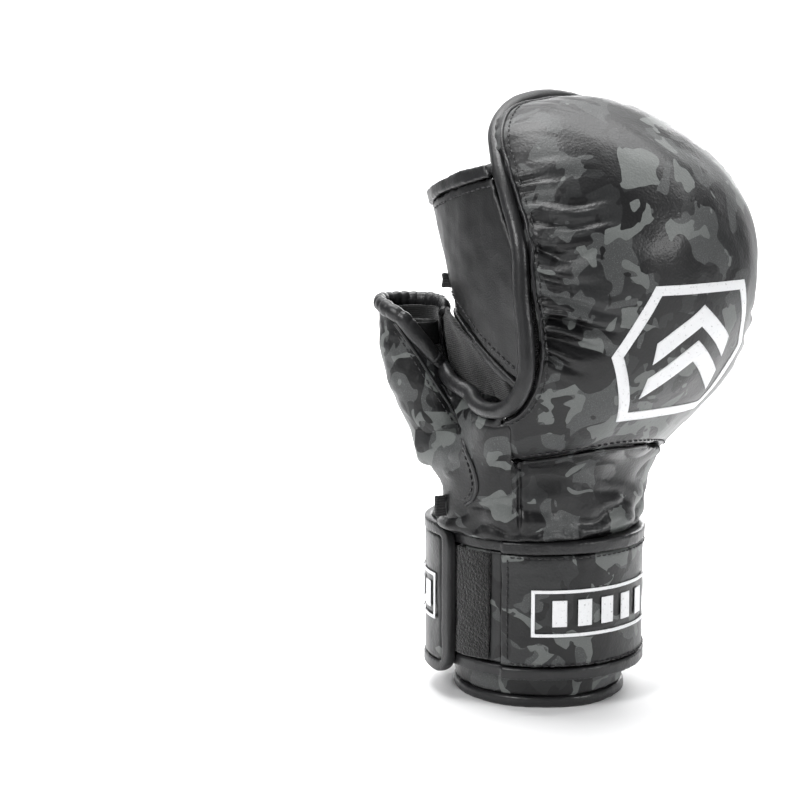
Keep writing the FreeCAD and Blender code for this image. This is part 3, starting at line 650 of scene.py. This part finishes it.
def gathers(points, away, place):
    """Height of the gathers along the piping: narrow ridges square to it, dying out away from it."""
    line = np.stack([place, place * 0, place * 0], 1)
    drift = 2.0 * MM * lumps(points, 16 * MM, 11)
    slant = 0.30 * away * lumps(line, 60 * MM, 12)
    height = 0
    for pitch, reach_mm, tall, seed in GATHER_LAYERS:
        phase = 2 * math.pi * (place + drift + slant) / (pitch * MM) + 1.3 * lumps(line, 12 * MM, seed + 3)
        ridge = np.abs(np.cos(phase / 2)) ** 1.3 - 0.62
        size = np.clip(0.85 + 0.5 * lumps(line, 8 * MM, seed), 0.15, 1.6)
        reach = (reach_mm + 6 * lumps(line, 11 * MM, seed + 1)) * MM
        fade = (1 - eased(away, reach * 0.3, reach)) * eased(away, 5.2 * MM, 9 * MM)
        height = height + tall * MM * size * fade * ridge
    part = place / place.max()
    thumb_side = eased(part, 0.09, 0.15) * (1 - eased(part, 0.27, 0.34))
    far_side = eased(part, 0.62, 0.70) * (1 - eased(part, 0.90, 0.97))
    return height * (0.06 + 0.94 * np.maximum(thumb_side, far_side))


def dents(points):
    """Broad soft unevenness of hand-filled padding."""
    return 0.55 * MM * lumps(points, 26 * MM, 21) + 0.18 * MM * lumps(points, 9 * MM, 22)


def on_surface(tree, points):
    """The nearest places on a surface, and the surface's directions there."""
    found = [tree.find_nearest(p) for p in points]
    return np.array([f[0] for f in found]), np.array([f[1] for f in found])


def piping(hood_tree):
    """The rolled piping round the hood's open face, and beside it a thin welt and its stitches."""
    route = smooth_route([LINK_END] + PIPING_ROUTE, 14) * MM
    roll = swept("hood_piping_roll", route, route - route.mean(0), round_section(PIPING_RADIUS, 20))
    points = coords(roll)
    pushed(roll, 0.10 * MM * lumps(points, 12 * MM, 31) + 0.05 * MM * lumps(points, 3 * MM, 32))
    finished(roll, BINDING, "hand", ["hood_piping"])
    route = smooth_route(PIPING_ROUTE, 14) * MM
    inner, level = on_surface(hood_tree, route + np.array([0, -8.0 * MM, 0]))
    back = unit(np.cross(unit(np.gradient(route, axis=0)), level))
    back *= np.sign((back * (inner - route)).sum(1))[:, None]
    for name, reach in (("hood_piping_welt", 5.6 * MM), ("hood_piping_stitch", 8.3 * MM)):
        line, up = on_surface(hood_tree, route + back * reach + level * 2 * MM)
        line = smoothed_line(line, 6)
        if name.endswith("welt"):
            piece = swept(name, line + up * 0.45 * MM, up, round_section(WELT_RADIUS, 10))
            finished(piece, BINDING, "hand")
        else:
            stitches(name, line + up * 0.15 * MM, up, "hand")


def hood_print(hood_tree):
    """A plain six-sided ring round two chevrons, printed on the back of the hood."""
    centre_x, centre_z, grid = 8 * MM, 160 * MM, 2.2 * MM
    ring_out = [(-41, 0), (-27, 29), (27, 29), (41, 0), (27, -29), (-27, -29)]
    ring_in = [(x * 0.88, z * 0.86) for x, z in ring_out]
    chevron = [(-22, -8), (0, 7), (22, -8), (22, -17), (0, -2), (-22, -17)]
    flat = bmesh.new()
    for k in range(6):
        m = (k + 1) % 6
        flat.faces.new([flat.verts.new((x * MM, 0, z * MM)) for x, z in
                        (ring_out[k], ring_out[m], ring_in[m], ring_in[k])])
    for lift in (-2, 13):
        for half in (chevron[:2] + chevron[4:], chevron[1:5]):
            flat.faces.new([flat.verts.new((x * MM, 0, (z + lift) * MM)) for x, z in half])
    for axis, reach in (((1, 0, 0), 42 * MM), ((0, 0, 1), 30 * MM)):
        for cut in np.arange(-reach, reach, grid):
            bmesh.ops.bisect_plane(flat, geom=flat.verts[:] + flat.edges[:] + flat.faces[:],
                                   plane_co=Vector(axis) * cut, plane_no=axis)
    bmesh.ops.remove_doubles(flat, verts=flat.verts, dist=1e-6)
    for vert in flat.verts:
        x, z = vert.co.x + centre_x, vert.co.z + centre_z
        hit, up, _, _ = hood_tree.ray_cast(Vector((x, -0.3, z)), Vector((0, 1, 0)))
        vert.co = hit + up * 0.12 * MM
    obj = applied(placed_shape("hood_mark", flat), "SOLIDIFY", thickness=0.25 * MM, offset=0)
    finished(obj, PRINT, "hand", ["hood_emblem"])


def hood_seam(hood_tree):
    """The seam where the hood is sewn to the gauntlet: a narrow welt with stitches above it."""
    xs = np.linspace(SEAM_ROUTE[0][0] + 3, SEAM_ROUTE[-1][0] - 1, 120) * MM
    heights = smooth_route(SEAM_ROUTE, 20) * MM
    zs = np.interp(xs, heights[:, 0], heights[:, 1])
    for name, lift, deep in (
            ("hood_seam_welt", 1.5 * MM, -0.1 * MM),
            ("hood_seam_stitch", 3.6 * MM, 0.15 * MM)):
        hits = [hood_tree.ray_cast(Vector((x, -0.3, z + lift)), Vector((0, 1, 0))) for x, z in zip(xs, zs)]
        line = np.array([h[0] for h in hits if h[0] is not None])
        up = np.array([h[1] for h in hits if h[0] is not None])
        line = smoothed_line(line, 8)
        if name.endswith("welt"):
            line[:, 2] -= lift
            piece = swept(name, line + up * deep, up, round_section(0.8 * MM, 10))
            finished(piece, CAMO, "hand")
        else:
            stitches(name, line + up * deep, up, "hand", 3.4 * MM)


# ---- Gauntlet ----
def gauntlet():
    """The camouflage skin from the wrist to the hood. Its lower end folds against the wrist band."""
    nodes = ["gauntlet_back_panel", "gauntlet_thumb_panel", "gauntlet_little_panel", "palm_heel_panel",
             "gauntlet_padding", "thumb_root_panel", "thumb_root_padding"]
    obj = subdivided(soft_piece("gauntlet", nodes, 1.2, 14), 1)
    points = coords(obj)
    lower_end = WRIST_HINGE_Z + 0.6 * MM + 0.167 * np.abs(points[:, 1])
    share = np.clip((points[:, 2] - lower_end) / (GAUNTLET_SOFT_Z - lower_end), 0, 1)
    low = points[:, 2] < GAUNTLET_SOFT_Z
    points[low, 2] = CUFF_SEAT_Z + (share * (GAUNTLET_SOFT_Z - CUFF_SEAT_Z))[low]
    set_coords(obj, points)
    radius = np.hypot(points[:, 0], points[:, 1])
    outside = eased(radius, 36 * MM, 40 * MM)
    height = points[:, 2]
    folds = lumps(points, 9 * MM, 41, stretch=(0.55, 0.55, 1.5))
    near_band = 1 - eased(height, 82 * MM, 102 * MM)
    crease = (np.abs(folds) ** 0.8 - 0.55) * (1.9 * near_band + 0.9) * MM
    broad = 1.1 * MM * lumps(points, 17 * MM, 42, stretch=(1.3, 1.3, 0.6))
    calm = eased(height, 76.5 * MM, 80 * MM) * (1 - eased(height, 118 * MM, 128 * MM) * 0.5)
    bearing = np.degrees(np.arctan2(points[:, 1] + 2 * MM, points[:, 0] - 3 * MM))
    seams = np.zeros(len(points))
    for angle in GAUNTLET_SEAMS:
        away = np.abs((bearing - angle + 180) % 360 - 180) * math.pi / 180 * radius
        groove = -1.3 * MM * np.exp(-(away / (0.9 * MM)) ** 2)
        seams += groove + 0.5 * MM * np.exp(-((away - 3.2 * MM) / (2 * MM)) ** 2)
    waist = eased(height, 79 * MM, 88 * MM) * (1 - eased(height, 94 * MM, 108 * MM))
    drawn_in = waist * eased(-points @ TOWARDS_FINGERS, 18 * MM, 40 * MM)
    set_coords(obj, points + (GAUNTLET_WAIST * drawn_in)[:, None] * TOWARDS_FINGERS)
    pushed(obj, outside * calm * (crease + broad) + outside * seams * eased(height, 78 * MM, 84 * MM))
    finished(obj, CAMO, GAUNTLET_JOINT, nodes)


def palm_binding():
    route = smooth_route(WINDOW_ROUTE, 14) * MM
    outward = route * LEVEL
    obj = swept("palm_window_binding", route, outward, round_section(2.5 * MM, 16))
    pushed(obj, 0.15 * MM * lumps(coords(obj), 4 * MM, 52))
    finished(obj, BINDING, "hand", ["palm_edge_binding"])


# ---- Thumb ----
def thumb():
    """The thumb's two panels, stretched down to their root, and its lining and inner loop."""
    for name, nodes, finish, seed in (
            ("thumb_outer", ["thumb_outer_panel", "thumb_padding"], CAMO, 61),
            ("thumb_inner", ["thumb_inner_panel"], SMOOTH, 62)):
        obj = subdivided(soft_piece(name, nodes, 1.3, 6), 1)
        points = coords(obj)
        low = points[:, 2] < THUMB_ROOT_Z
        points[low, 2] -= (THUMB_ROOT_Z - points[low, 2]) * 0.9
        set_coords(obj, points)
        outside = eased(np.hypot(*(points - THUMB_MIDDLE)[:, :2].T), 11.5 * MM, 13.5 * MM)
        folds = 0.45 * MM * lumps(points, 10 * MM, seed, stretch=(0.7, 0.7, 1.4))
        folds += 0.15 * MM * lumps(points, 3.4 * MM, 63)
        pushed(obj, outside * folds)
        finished(obj, finish, THUMB_JOINT, nodes)
    soft_copy("thumb_lining_soft", ["thumb_lining"], 0.8, 8, LINING, "thumb", (0.18, 4, 64))
    soft_copy("thumb_inner_loop", ["thumb_loop"], 0.7, 8, SMOOTH, "thumb", (0.18, 4, 64))


def thumb_roll():
    """The thick pleated roll round the thumb's mouth, down its open edge and on to the hood's piping."""
    route = smooth_route(THUMB_ROLL, 16) * MM
    route = THUMB_CENTRE + route @ np.array([TOWARDS_FINGERS, OUT_OF_SIDE, UP])
    outward = (route - THUMB_CENTRE) * LEVEL
    roll = swept("thumb_mouth_roll", route, outward, round_section(3.5 * MM, 18, flat=0.78))
    points = coords(roll)
    _, place = beside(points, route)
    pleats = np.abs(np.sin(math.pi * place / (4.4 * MM) + 0.9 * lumps(points, 14 * MM, 66))) ** 0.6 - 0.7
    top = eased(points[:, 2], 165 * MM, 172 * MM)
    pushed(roll, (0.55 * pleats * top + 0.2 * lumps(points, 6 * MM, 67)) * MM)
    finished(roll, BINDING, "thumb", ["thumb_rim_binding", "thumb_edge_piping"])
    link = [route[14] / MM, route[0] / MM, (-50, 5.5, 144.2), LINK_END, PIPING_ROUTE[0]]
    link = smooth_route(link, 12) * MM
    bridge = swept("thumb_piping_link", link, np.repeat(OUT_OF_SIDE[None], len(link), 0),
                   round_section(PIPING_RADIUS * 0.98, 18, flat=0.92))
    pushed(bridge, 0.12 * MM * lumps(coords(bridge), 5 * MM, 68))
    finished(bridge, BINDING, ("hand", "thumb", tuple(link[-8]), tuple(link[12])))


def thumb_seam():
    """The welt between the thumb's outer panel and the gusset, down the thumb and on to the gauntlet."""
    trees = surfaces("thumb_outer", "thumb_gusset", "gauntlet")
    line, up = [], []
    for across, height in smooth_route(THUMB_SEAM, 14) * MM:
        place, level, _, _ = first_hit(trees, TOWARDS_FINGERS * across + OUT_OF_SIDE * 0.3 + UP * height)
        line.append(place)
        up.append(level)
    line, up = smoothed_line(np.array(line), 4), np.array(up)
    welt = swept("thumb_seam_welt", line + up * 0.35 * MM, up, round_section(0.85 * MM, 10))
    finished(welt, BINDING, THUMB_JOINT)
    side = np.cross(unit(np.gradient(line, axis=0)), up)
    stitches("thumb_seam_stitch", line + side * 2.6 * MM + up * 0.1 * MM, up, THUMB_JOINT, 3.2 * MM)


def neighbour_mean(grid):
    """The mean of the four values round each one in a grid."""
    padded = np.pad(grid, 1, mode="edge")
    return (padded[:-2, 1:-1] + padded[2:, 1:-1] + padded[1:-1, :-2] + padded[1:-1, 2:]) / 4


def depths_behind(across, heights):
    """How far out of the thumb's side the pieces lie, in mm, on a grid; 0 where there is nothing."""
    trees = surfaces("thumb_outer", "thumb_inner", "gauntlet", "hood")
    depth = np.zeros((len(across), len(heights)))
    for i, a in enumerate(across):
        for j, z in enumerate(heights):
            hit = first_hit(trees, (TOWARDS_FINGERS * a + OUT_OF_SIDE * GUSSET_FAR + UP * z) * MM)
            if hit:
                depth[i, j] = GUSSET_FAR - hit[3] / MM
    return depth


def thumb_gusset():
    """The taut leather between the thumb's seam, the gauntlet and the piping's lowest bend.

    It is laid over the pieces below it, as seen from the thumb's side, and bridges the gaps between them."""
    across = np.arange(-56, -8, GUSSET_GRID)
    heights = np.arange(88, 144, GUSSET_GRID)
    seam_across, seam_height = np.array(THUMB_SEAM[6::-1]).T
    depth = depths_behind(across, heights)
    covered = depth > 5
    for _ in range(60):
        depth = np.maximum(depth, neighbour_mean(depth))
    for _ in range(5):
        depth = neighbour_mean(depth)
    seam = np.interp(heights, seam_height, seam_across)
    beyond_seam = across[:, None] < seam[None] - 2
    depth += 0.25 - 1.6 * beyond_seam * eased(heights, 114, GUSSET_REACH)[None]
    grid = [(TOWARDS_FINGERS * a + OUT_OF_SIDE * depth[i, j] + UP * z) * MM
            for i, a in enumerate(across) for j, z in enumerate(heights)]
    faces = []
    for i, a in enumerate(across[:-1]):
        for j, z in enumerate(heights[:-1]):
            inside_seam = a > seam[j] or z < GUSSET_REACH
            backed = covered[i, j] or a > GUSSET_BRIDGE
            inside_edges = np.interp(a, *GUSSET_FOOT) < z < np.interp(a, *GUSSET_TOP) and a < GUSSET_SIDE
            if inside_seam and backed and inside_edges:
                k = i * len(heights) + j
                faces.append((k, k + len(heights), k + len(heights) + 1, k + 1))
    obj = mesh_of("thumb_gusset", grid, faces)
    cleaned = bmesh.new()
    cleaned.from_mesh(obj.data)
    bmesh.ops.delete(cleaned, geom=[v for v in cleaned.verts if not v.link_faces], context="VERTS")
    cleaned.to_mesh(obj.data)
    cleaned.free()
    smoothed(obj, 12, keep_size=False)
    applied(obj, "SOLIDIFY", thickness=1.2 * MM, offset=0)
    subdivided(obj, 1)
    pushed(obj, 0.35 * MM * lumps(coords(obj), 9 * MM, 69, stretch=(1.2, 1.2, 0.6)))
    finished(obj, CAMO, GUSSET_JOINT)


def thumb_web():
    """The lining between the thumb and the fingers, from the thumb's far wall to the sleeve's foot."""
    far_wall = smooth_route(WEB_FAR_SIDE, 8) * MM
    foot = smooth_route(WEB_NEAR_SIDE, 6) * MM
    count, steps = 25, 14
    rows = [np.stack([np.interp(np.linspace(0, 1, count), np.linspace(0, 1, len(side)), side[:, k])
                      for k in range(3)], axis=1) for side in (far_wall, foot)]
    share = np.linspace(0, 1, steps)
    hollow = 3.0 * MM * np.sin(math.pi * share)
    points = [a + (b - a) * t - OUT_OF_SIDE * h for a, b in zip(*rows) for t, h in zip(share, hollow)]
    faces = [(i * steps + j, i * steps + j + 1, (i + 1) * steps + j + 1, (i + 1) * steps + j)
             for i in range(count - 1) for j in range(steps - 1)]
    obj = mesh_of("thumb_web", points, faces)
    applied(obj, "SOLIDIFY", thickness=1.4 * MM, offset=0)
    subdivided(obj, 2)
    pushed(obj, 0.5 * MM * lumps(coords(obj), 9 * MM, 65))
    # The web wears the darker copy of the lining knit, as painted shade
    finished(obj, SHADED_LINING_KNIT, GUSSET_JOINT)


# ---- Finger sleeve ----
def finger_sleeve():
    for name, node, voxel, finish in (
            ("sleeve_panel", "finger_panel", 1.3, SMOOTH),
            ("sleeve_lining", "finger_lining", 0.8, LINING),
            ("sleeve_rim_roll", "finger_rim_binding", 0.9, BINDING),
            ("sleeve_foot_roll", "finger_foot_binding", 0.9, BINDING),
            ("finger_loop_bands", "finger_loops", 0.9, SMOOTH)):
        soft_copy(name, [node], voxel, 6, finish, "finger_sleeve", (0.25, 12, 71), (0.1, 4, 72))


# ---- Cuff, band and strap ----
def cuff():
    for name, nodes, voxel, finish, swell in (
            ("cuff_sleeve_skin", ["cuff_sleeve", "cuff_padding"], 1.2, CAMO, 0.35),
            ("cuff_lining_soft", ["cuff_lining"], 1.0, LINING, 0.1),
            ("cuff_gusset", ["slit_gusset"], 0.8, WEB, 0.1),
            ("cuff_rim_roll", ["cuff_rim_binding"], 0.9, BINDING, 0.2),
            ("band_pad", ["wrist_band", "band_padding"], 1.2, CAMO, 0.15),
            ("loop_base_skin", ["loop_base"], 1.0, CAMO, 0.15),
            ("band_bottom_roll", ["band_bottom_binding"], 0.9, BINDING, 0.15),
            ("band_top_roll", ["band_top_binding"], 0.9, BINDING, 0.15),
            ("loop_pile_patch", ["loop_patch"], 0.7, LOOPS, 0.25),
            ("strap_anchor_skin", ["strap_anchor"], 1.1, CAMO, 0.2)):
        soft_copy(name, nodes, voxel, 6, finish, "cuff", (swell, 11, 81), (0.06, 3, 82))


def round_tab_end(points):
    """Rounds the two corners at the free end of the strap, which is a bent strip with a square end."""
    bearing = np.arctan2(points[:, 1], points[:, 0])
    ahead = np.clip((bearing - (TAB_END_BEARING - TAB_CORNER / TAB_REACH)) * TAB_REACH / TAB_CORNER, 0, 1)
    above = (points[:, 2] - TAB_MIDDLE_Z) / MM
    side = np.clip((np.abs(above) - (TAB_HALF_WIDTH - TAB_CORNER) / MM) * MM / TAB_CORNER, 0, 1)
    turn = TAB_CORNER / TAB_REACH * ahead * (np.sqrt(1 - side ** 2 / 2) - 1)
    drop = TAB_CORNER * side * (np.sqrt(1 - ahead ** 2 / 2) - 1) * np.sign(above)
    cos, sin = np.cos(turn), np.sin(turn)
    return np.stack([points[:, 0] * cos - points[:, 1] * sin, points[:, 0] * sin + points[:, 1] * cos,
                     points[:, 2] + drop], axis=1)


def strap():
    """The strap and its free end, and the printed marks on that end and on the band."""
    for name, nodes, voxel, finish, bodies in (
            ("strap_panel", ["strap_band", "strap_core"], 1.1, CAMO, STRAP_JOINT),
            ("strap_edge_rolls", ["strap_bindings"], 0.9, BINDING, STRAP_JOINT),
            ("tab_skin", ["tab_panel"], 1.0, CAMO, TAB_JOINT),
            ("tab_edge_roll", ["tab_binding"], 0.9, BINDING, TAB_JOINT),
            ("tab_hook_patch", ["hook_patch"], 0.6, HOOKS, "strap_tab"),
            ("tab_mark", ["tab_label"], 0.35, PRINT, "strap_tab"),
            ("band_mark", ["band_label"], 0.35, PRINT, "cuff")):
        obj = soft_piece(name, nodes, voxel, 5)
        points = coords(obj)
        if finish is PRINT:
            points += LABEL_LIFT * unit(points * LEVEL)
        else:
            points += normals(obj) * 0.15 * MM * lumps(points, 9 * MM, 91)[:, None]
        set_coords(obj, round_tab_end(points) if name.startswith("tab") else points)
        finished(obj, finish, bodies, nodes)


def rim_end():
    """The last bit of the sleeve's rolled rim, where it turns in behind the hood's piping."""
    route = smooth_route([(-54.1, -10.0, 231.6), (-54.1, -16.0, 233.0), (-53.6, -21.0, 234.2),
                          (-52.0, -26.5, 235.8)], 8) * MM
    roll = swept("sleeve_rim_end", route, np.repeat(np.array([[-1.0, 0, 0]]), len(route), 0),
                 round_section(3.2 * MM, 18, flat=0.95))
    finished(roll, BINDING, "finger_sleeve")


def side_tab():
    """A folded scrap of ribbon sewn into the sleeve's side, with a round fold at its outer edge."""
    skin = coords(bpy.data.objects["sleeve_panel"])
    near = skin[np.abs(skin[:, 2] - 186.5 * MM) < 4 * MM]
    root = near[np.argmax(near[:, 1] - near[:, 0])] * LEVEL
    out = np.array([-0.8, 0.6, 0])
    across = np.array([0.6, 0.8, 0])
    heights = np.linspace(183.5, 189.5, 14) * MM
    route = root - out * 0.6 * MM + heights[:, None] * UP
    route += across * 0.25 * MM * np.sin(heights / (2.6 * MM))[:, None]
    half = [(1.6, 0.6), (2.5, 0.85), (3.1, 0.5)]
    section = [(-3.4, -0.55)] + [(o, -s) for o, s in half] + [(3.3, 0)] + half[::-1] + [(-3.4, 0.55)]
    section = [(o * MM, s * MM) for o, s in section]
    obj = swept("sleeve_side_tab", route, np.repeat(out[None], len(route), 0), section)
    applied(obj, "REMESH", mode="VOXEL", voxel_size=0.3 * MM)
    smoothed(obj, 6, keep_size=False)
    pushed(obj, 0.3 * MM * lumps(coords(obj), 2.2 * MM, 73))
    finished(obj, WEB, "finger_sleeve", ["side_tab"])


def sleeve_stitches():
    """A row of stitches under the sleeve's rolled rim, and one above its foot."""
    skin = surface_of(bpy.data.objects["sleeve_panel"])
    for name, ends in (
            ("sleeve_rim_stitch", ((-46, 19, 217.5), (-57.5, 5, 221.5), (-58, -20, 227.5), (-56, -38, 231))),
            ("sleeve_foot_stitch", ((-46, 17, 181), (-56, 2, 176.5), (-58, -16, 166), (-58, -40, 152)))):
        line, up = on_surface(skin, smooth_route(ends, 16) * MM)
        up = up * np.sign((up * np.array([-1, 0.4, 0])).sum(1))[:, None]
        line = smoothed_line(line, 4) + up * 0.1 * MM
        stitches(name, line, up, "finger_sleeve", 3.2 * MM, 2.3 * MM, 0.4 * MM)


def band_stitches():
    """Rows of stitches beside the wrist band's bindings."""
    turn = np.radians(np.linspace(-153, -32, 160))
    around = np.stack([np.cos(turn), np.sin(turn), turn * 0], 1)
    for name, z in (("band_stitch_low", 21.8 * MM), ("band_stitch_high", 69.2 * MM)):
        stitches(name, around * BAND_RADIUS + UP * z, around, "cuff")
    for name, angle in (("band_end_stitch", -34), ("loop_side_stitch", -152)):
        out = np.array([math.cos(math.radians(angle)), math.sin(math.radians(angle)), 0])
        heights = np.linspace(22, 69, 40)[:, None] * MM
        route = out * BAND_RADIUS + heights * UP
        stitches(name, route, np.repeat(out[None], len(route), 0), "cuff")


def trim():
    """The hood's lining, the knit flap at the fingertips and the pull tab at the wrist."""
    ripple = (0.2, 7, 95)
    soft_copy("hood_lining_soft", ["hood_lining"], 0.75, 5, LINING, "hand", ripple)
    for name, node, voxel, finish in (
            ("knit_flap", "fingertip_flap", 0.8, LINING),
            ("wrist_pull_tab", "pull_tab", 0.5, WEB)):
        obj = soft_piece(name, [node], voxel, 5)
        points = coords(obj)
        if name == "knit_flap":
            swell = np.sin(math.pi * np.clip((points[:, 2] - FLAP_LOW) / (FLAP_HIGH - FLAP_LOW), 0, 1)) ** 0.6
            front = np.clip(normals(obj)[:, 1], 0, 1)
            points += (swell * front)[:, None] * FLAP_SWELL
            set_coords(obj, points)
            smoothed(obj, 4)
        else:
            set_coords(obj, points + GAUNTLET_WAIST * 0.9 * TOWARDS_FINGERS)
        pushed(obj, ripple[0] * MM * lumps(points, ripple[1] * MM, ripple[2]))
        finished(obj, finish, "hand", [node])


# ---- Studio ----
CAMERA_AZIMUTH, CAMERA_ELEVATION = math.radians(-45), math.radians(8.5)
CAMERA_DISTANCE = 0.85
CAMERA_LENS = 85               # in mm, on a 36 mm sensor
SWEEP = [(-7, 0), (-4, 0), (-1, 0), (0.3, 0), (0.7, 0), (0.95, 0), (1.3, 0.06), (1.5, 0.3), (1.55, 1.6)]
AWAY = Vector((math.sin(math.radians(45)), math.cos(math.radians(45)), 0))    # level, from the camera
GLOVE = Vector((0, 0, 0.14))   # what the lights aim at


def studio():
    """A pale sweep, four soft lights on the glove, one on the backdrop, and the camera."""
    bend = smooth_route(SWEEP)
    across = Vector((AWAY.y, -AWAY.x, 0))
    points = [tuple(AWAY * y + across * x + Vector((0, 0, z))) for y, z in bend for x in (-5, 5)]
    faces = [(2 * i, 2 * i + 1, 2 * i + 3, 2 * i + 2) for i in range(len(bend) - 1)]
    sweep = mesh_of("studio_floor", points, faces)
    sweep.data.materials.append(floor_paint())
    sweep.data.shade_smooth()
    world = bpy.data.worlds.new("studio")
    world.use_nodes = True
    background = world.node_tree.nodes["Background"].inputs
    background["Color"].default_value = (0.95, 0.97, 1.0, 1)
    background["Strength"].default_value = 0.17
    bpy.context.scene.world = world
    for name, place, target, size, power in (
            ("key", (-1.15, -0.15, 0.85), GLOVE, 0.38, 11),
            ("side", (0.45, -1.25, 0.6), GLOVE, 0.4, 6.5),
            ("top", (-0.15, 0.1, 1.3), GLOVE, 0.6, 10),
            ("back", (1.0, 0.6, 0.5), GLOVE, 0.5, 4),
            ("backdrop", AWAY * 0.5 + Vector((0, 0, 1.1)), AWAY * 1.5 + Vector((0, 0, 0.1)), 1.4, 34)):
        light = bpy.data.lights.new(name, "AREA")
        light.size = size
        light.energy = power
        lamp = placed(name, light)
        lamp.location = place
        lamp.rotation_euler = (target - Vector(place)).to_track_quat("-Z", "Y").to_euler()
    data = bpy.data.cameras.new("camera")
    data.lens = CAMERA_LENS
    data.sensor_width = 36
    camera = placed("camera", data)
    level = Vector((math.sin(CAMERA_AZIMUTH), -math.cos(CAMERA_AZIMUTH), 0))
    middle = Vector((0, 0, 0.1305))
    rise = Vector((0, 0, math.sin(CAMERA_ELEVATION)))
    camera.location = middle + CAMERA_DISTANCE * (level * math.cos(CAMERA_ELEVATION) + rise)
    # The glove stands right of the picture's middle, so the camera aims beside it
    aim = middle + 0.0635 * Vector((math.sin(CAMERA_AZIMUTH), math.cos(CAMERA_AZIMUTH), 0))
    camera.rotation_euler = (aim - camera.location).to_track_quat("-Z", "Y").to_euler()
    bpy.context.scene.camera = camera
    bpy.context.scene.view_settings.view_transform = "Standard"


def main():
    padded_hood = hood()
    tree = surface_of(padded_hood)
    piping(tree)
    hood_print(tree)
    hood_seam(tree)
    finished(padded_hood, CAMO, "hand", HOOD_NODES)
    gauntlet()
    soft_copy("hand_lining_soft", ["hand_lining"], 0.8, 4, LINING, "hand", (0.15, 5, 51))
    palm_binding()
    thumb()
    thumb_roll()
    thumb_gusset()
    thumb_seam()
    thumb_web()
    finger_sleeve()
    rim_end()
    side_tab()
    sleeve_stitches()
    cuff()
    strap()
    band_stitches()
    trim()
    studio()


main()
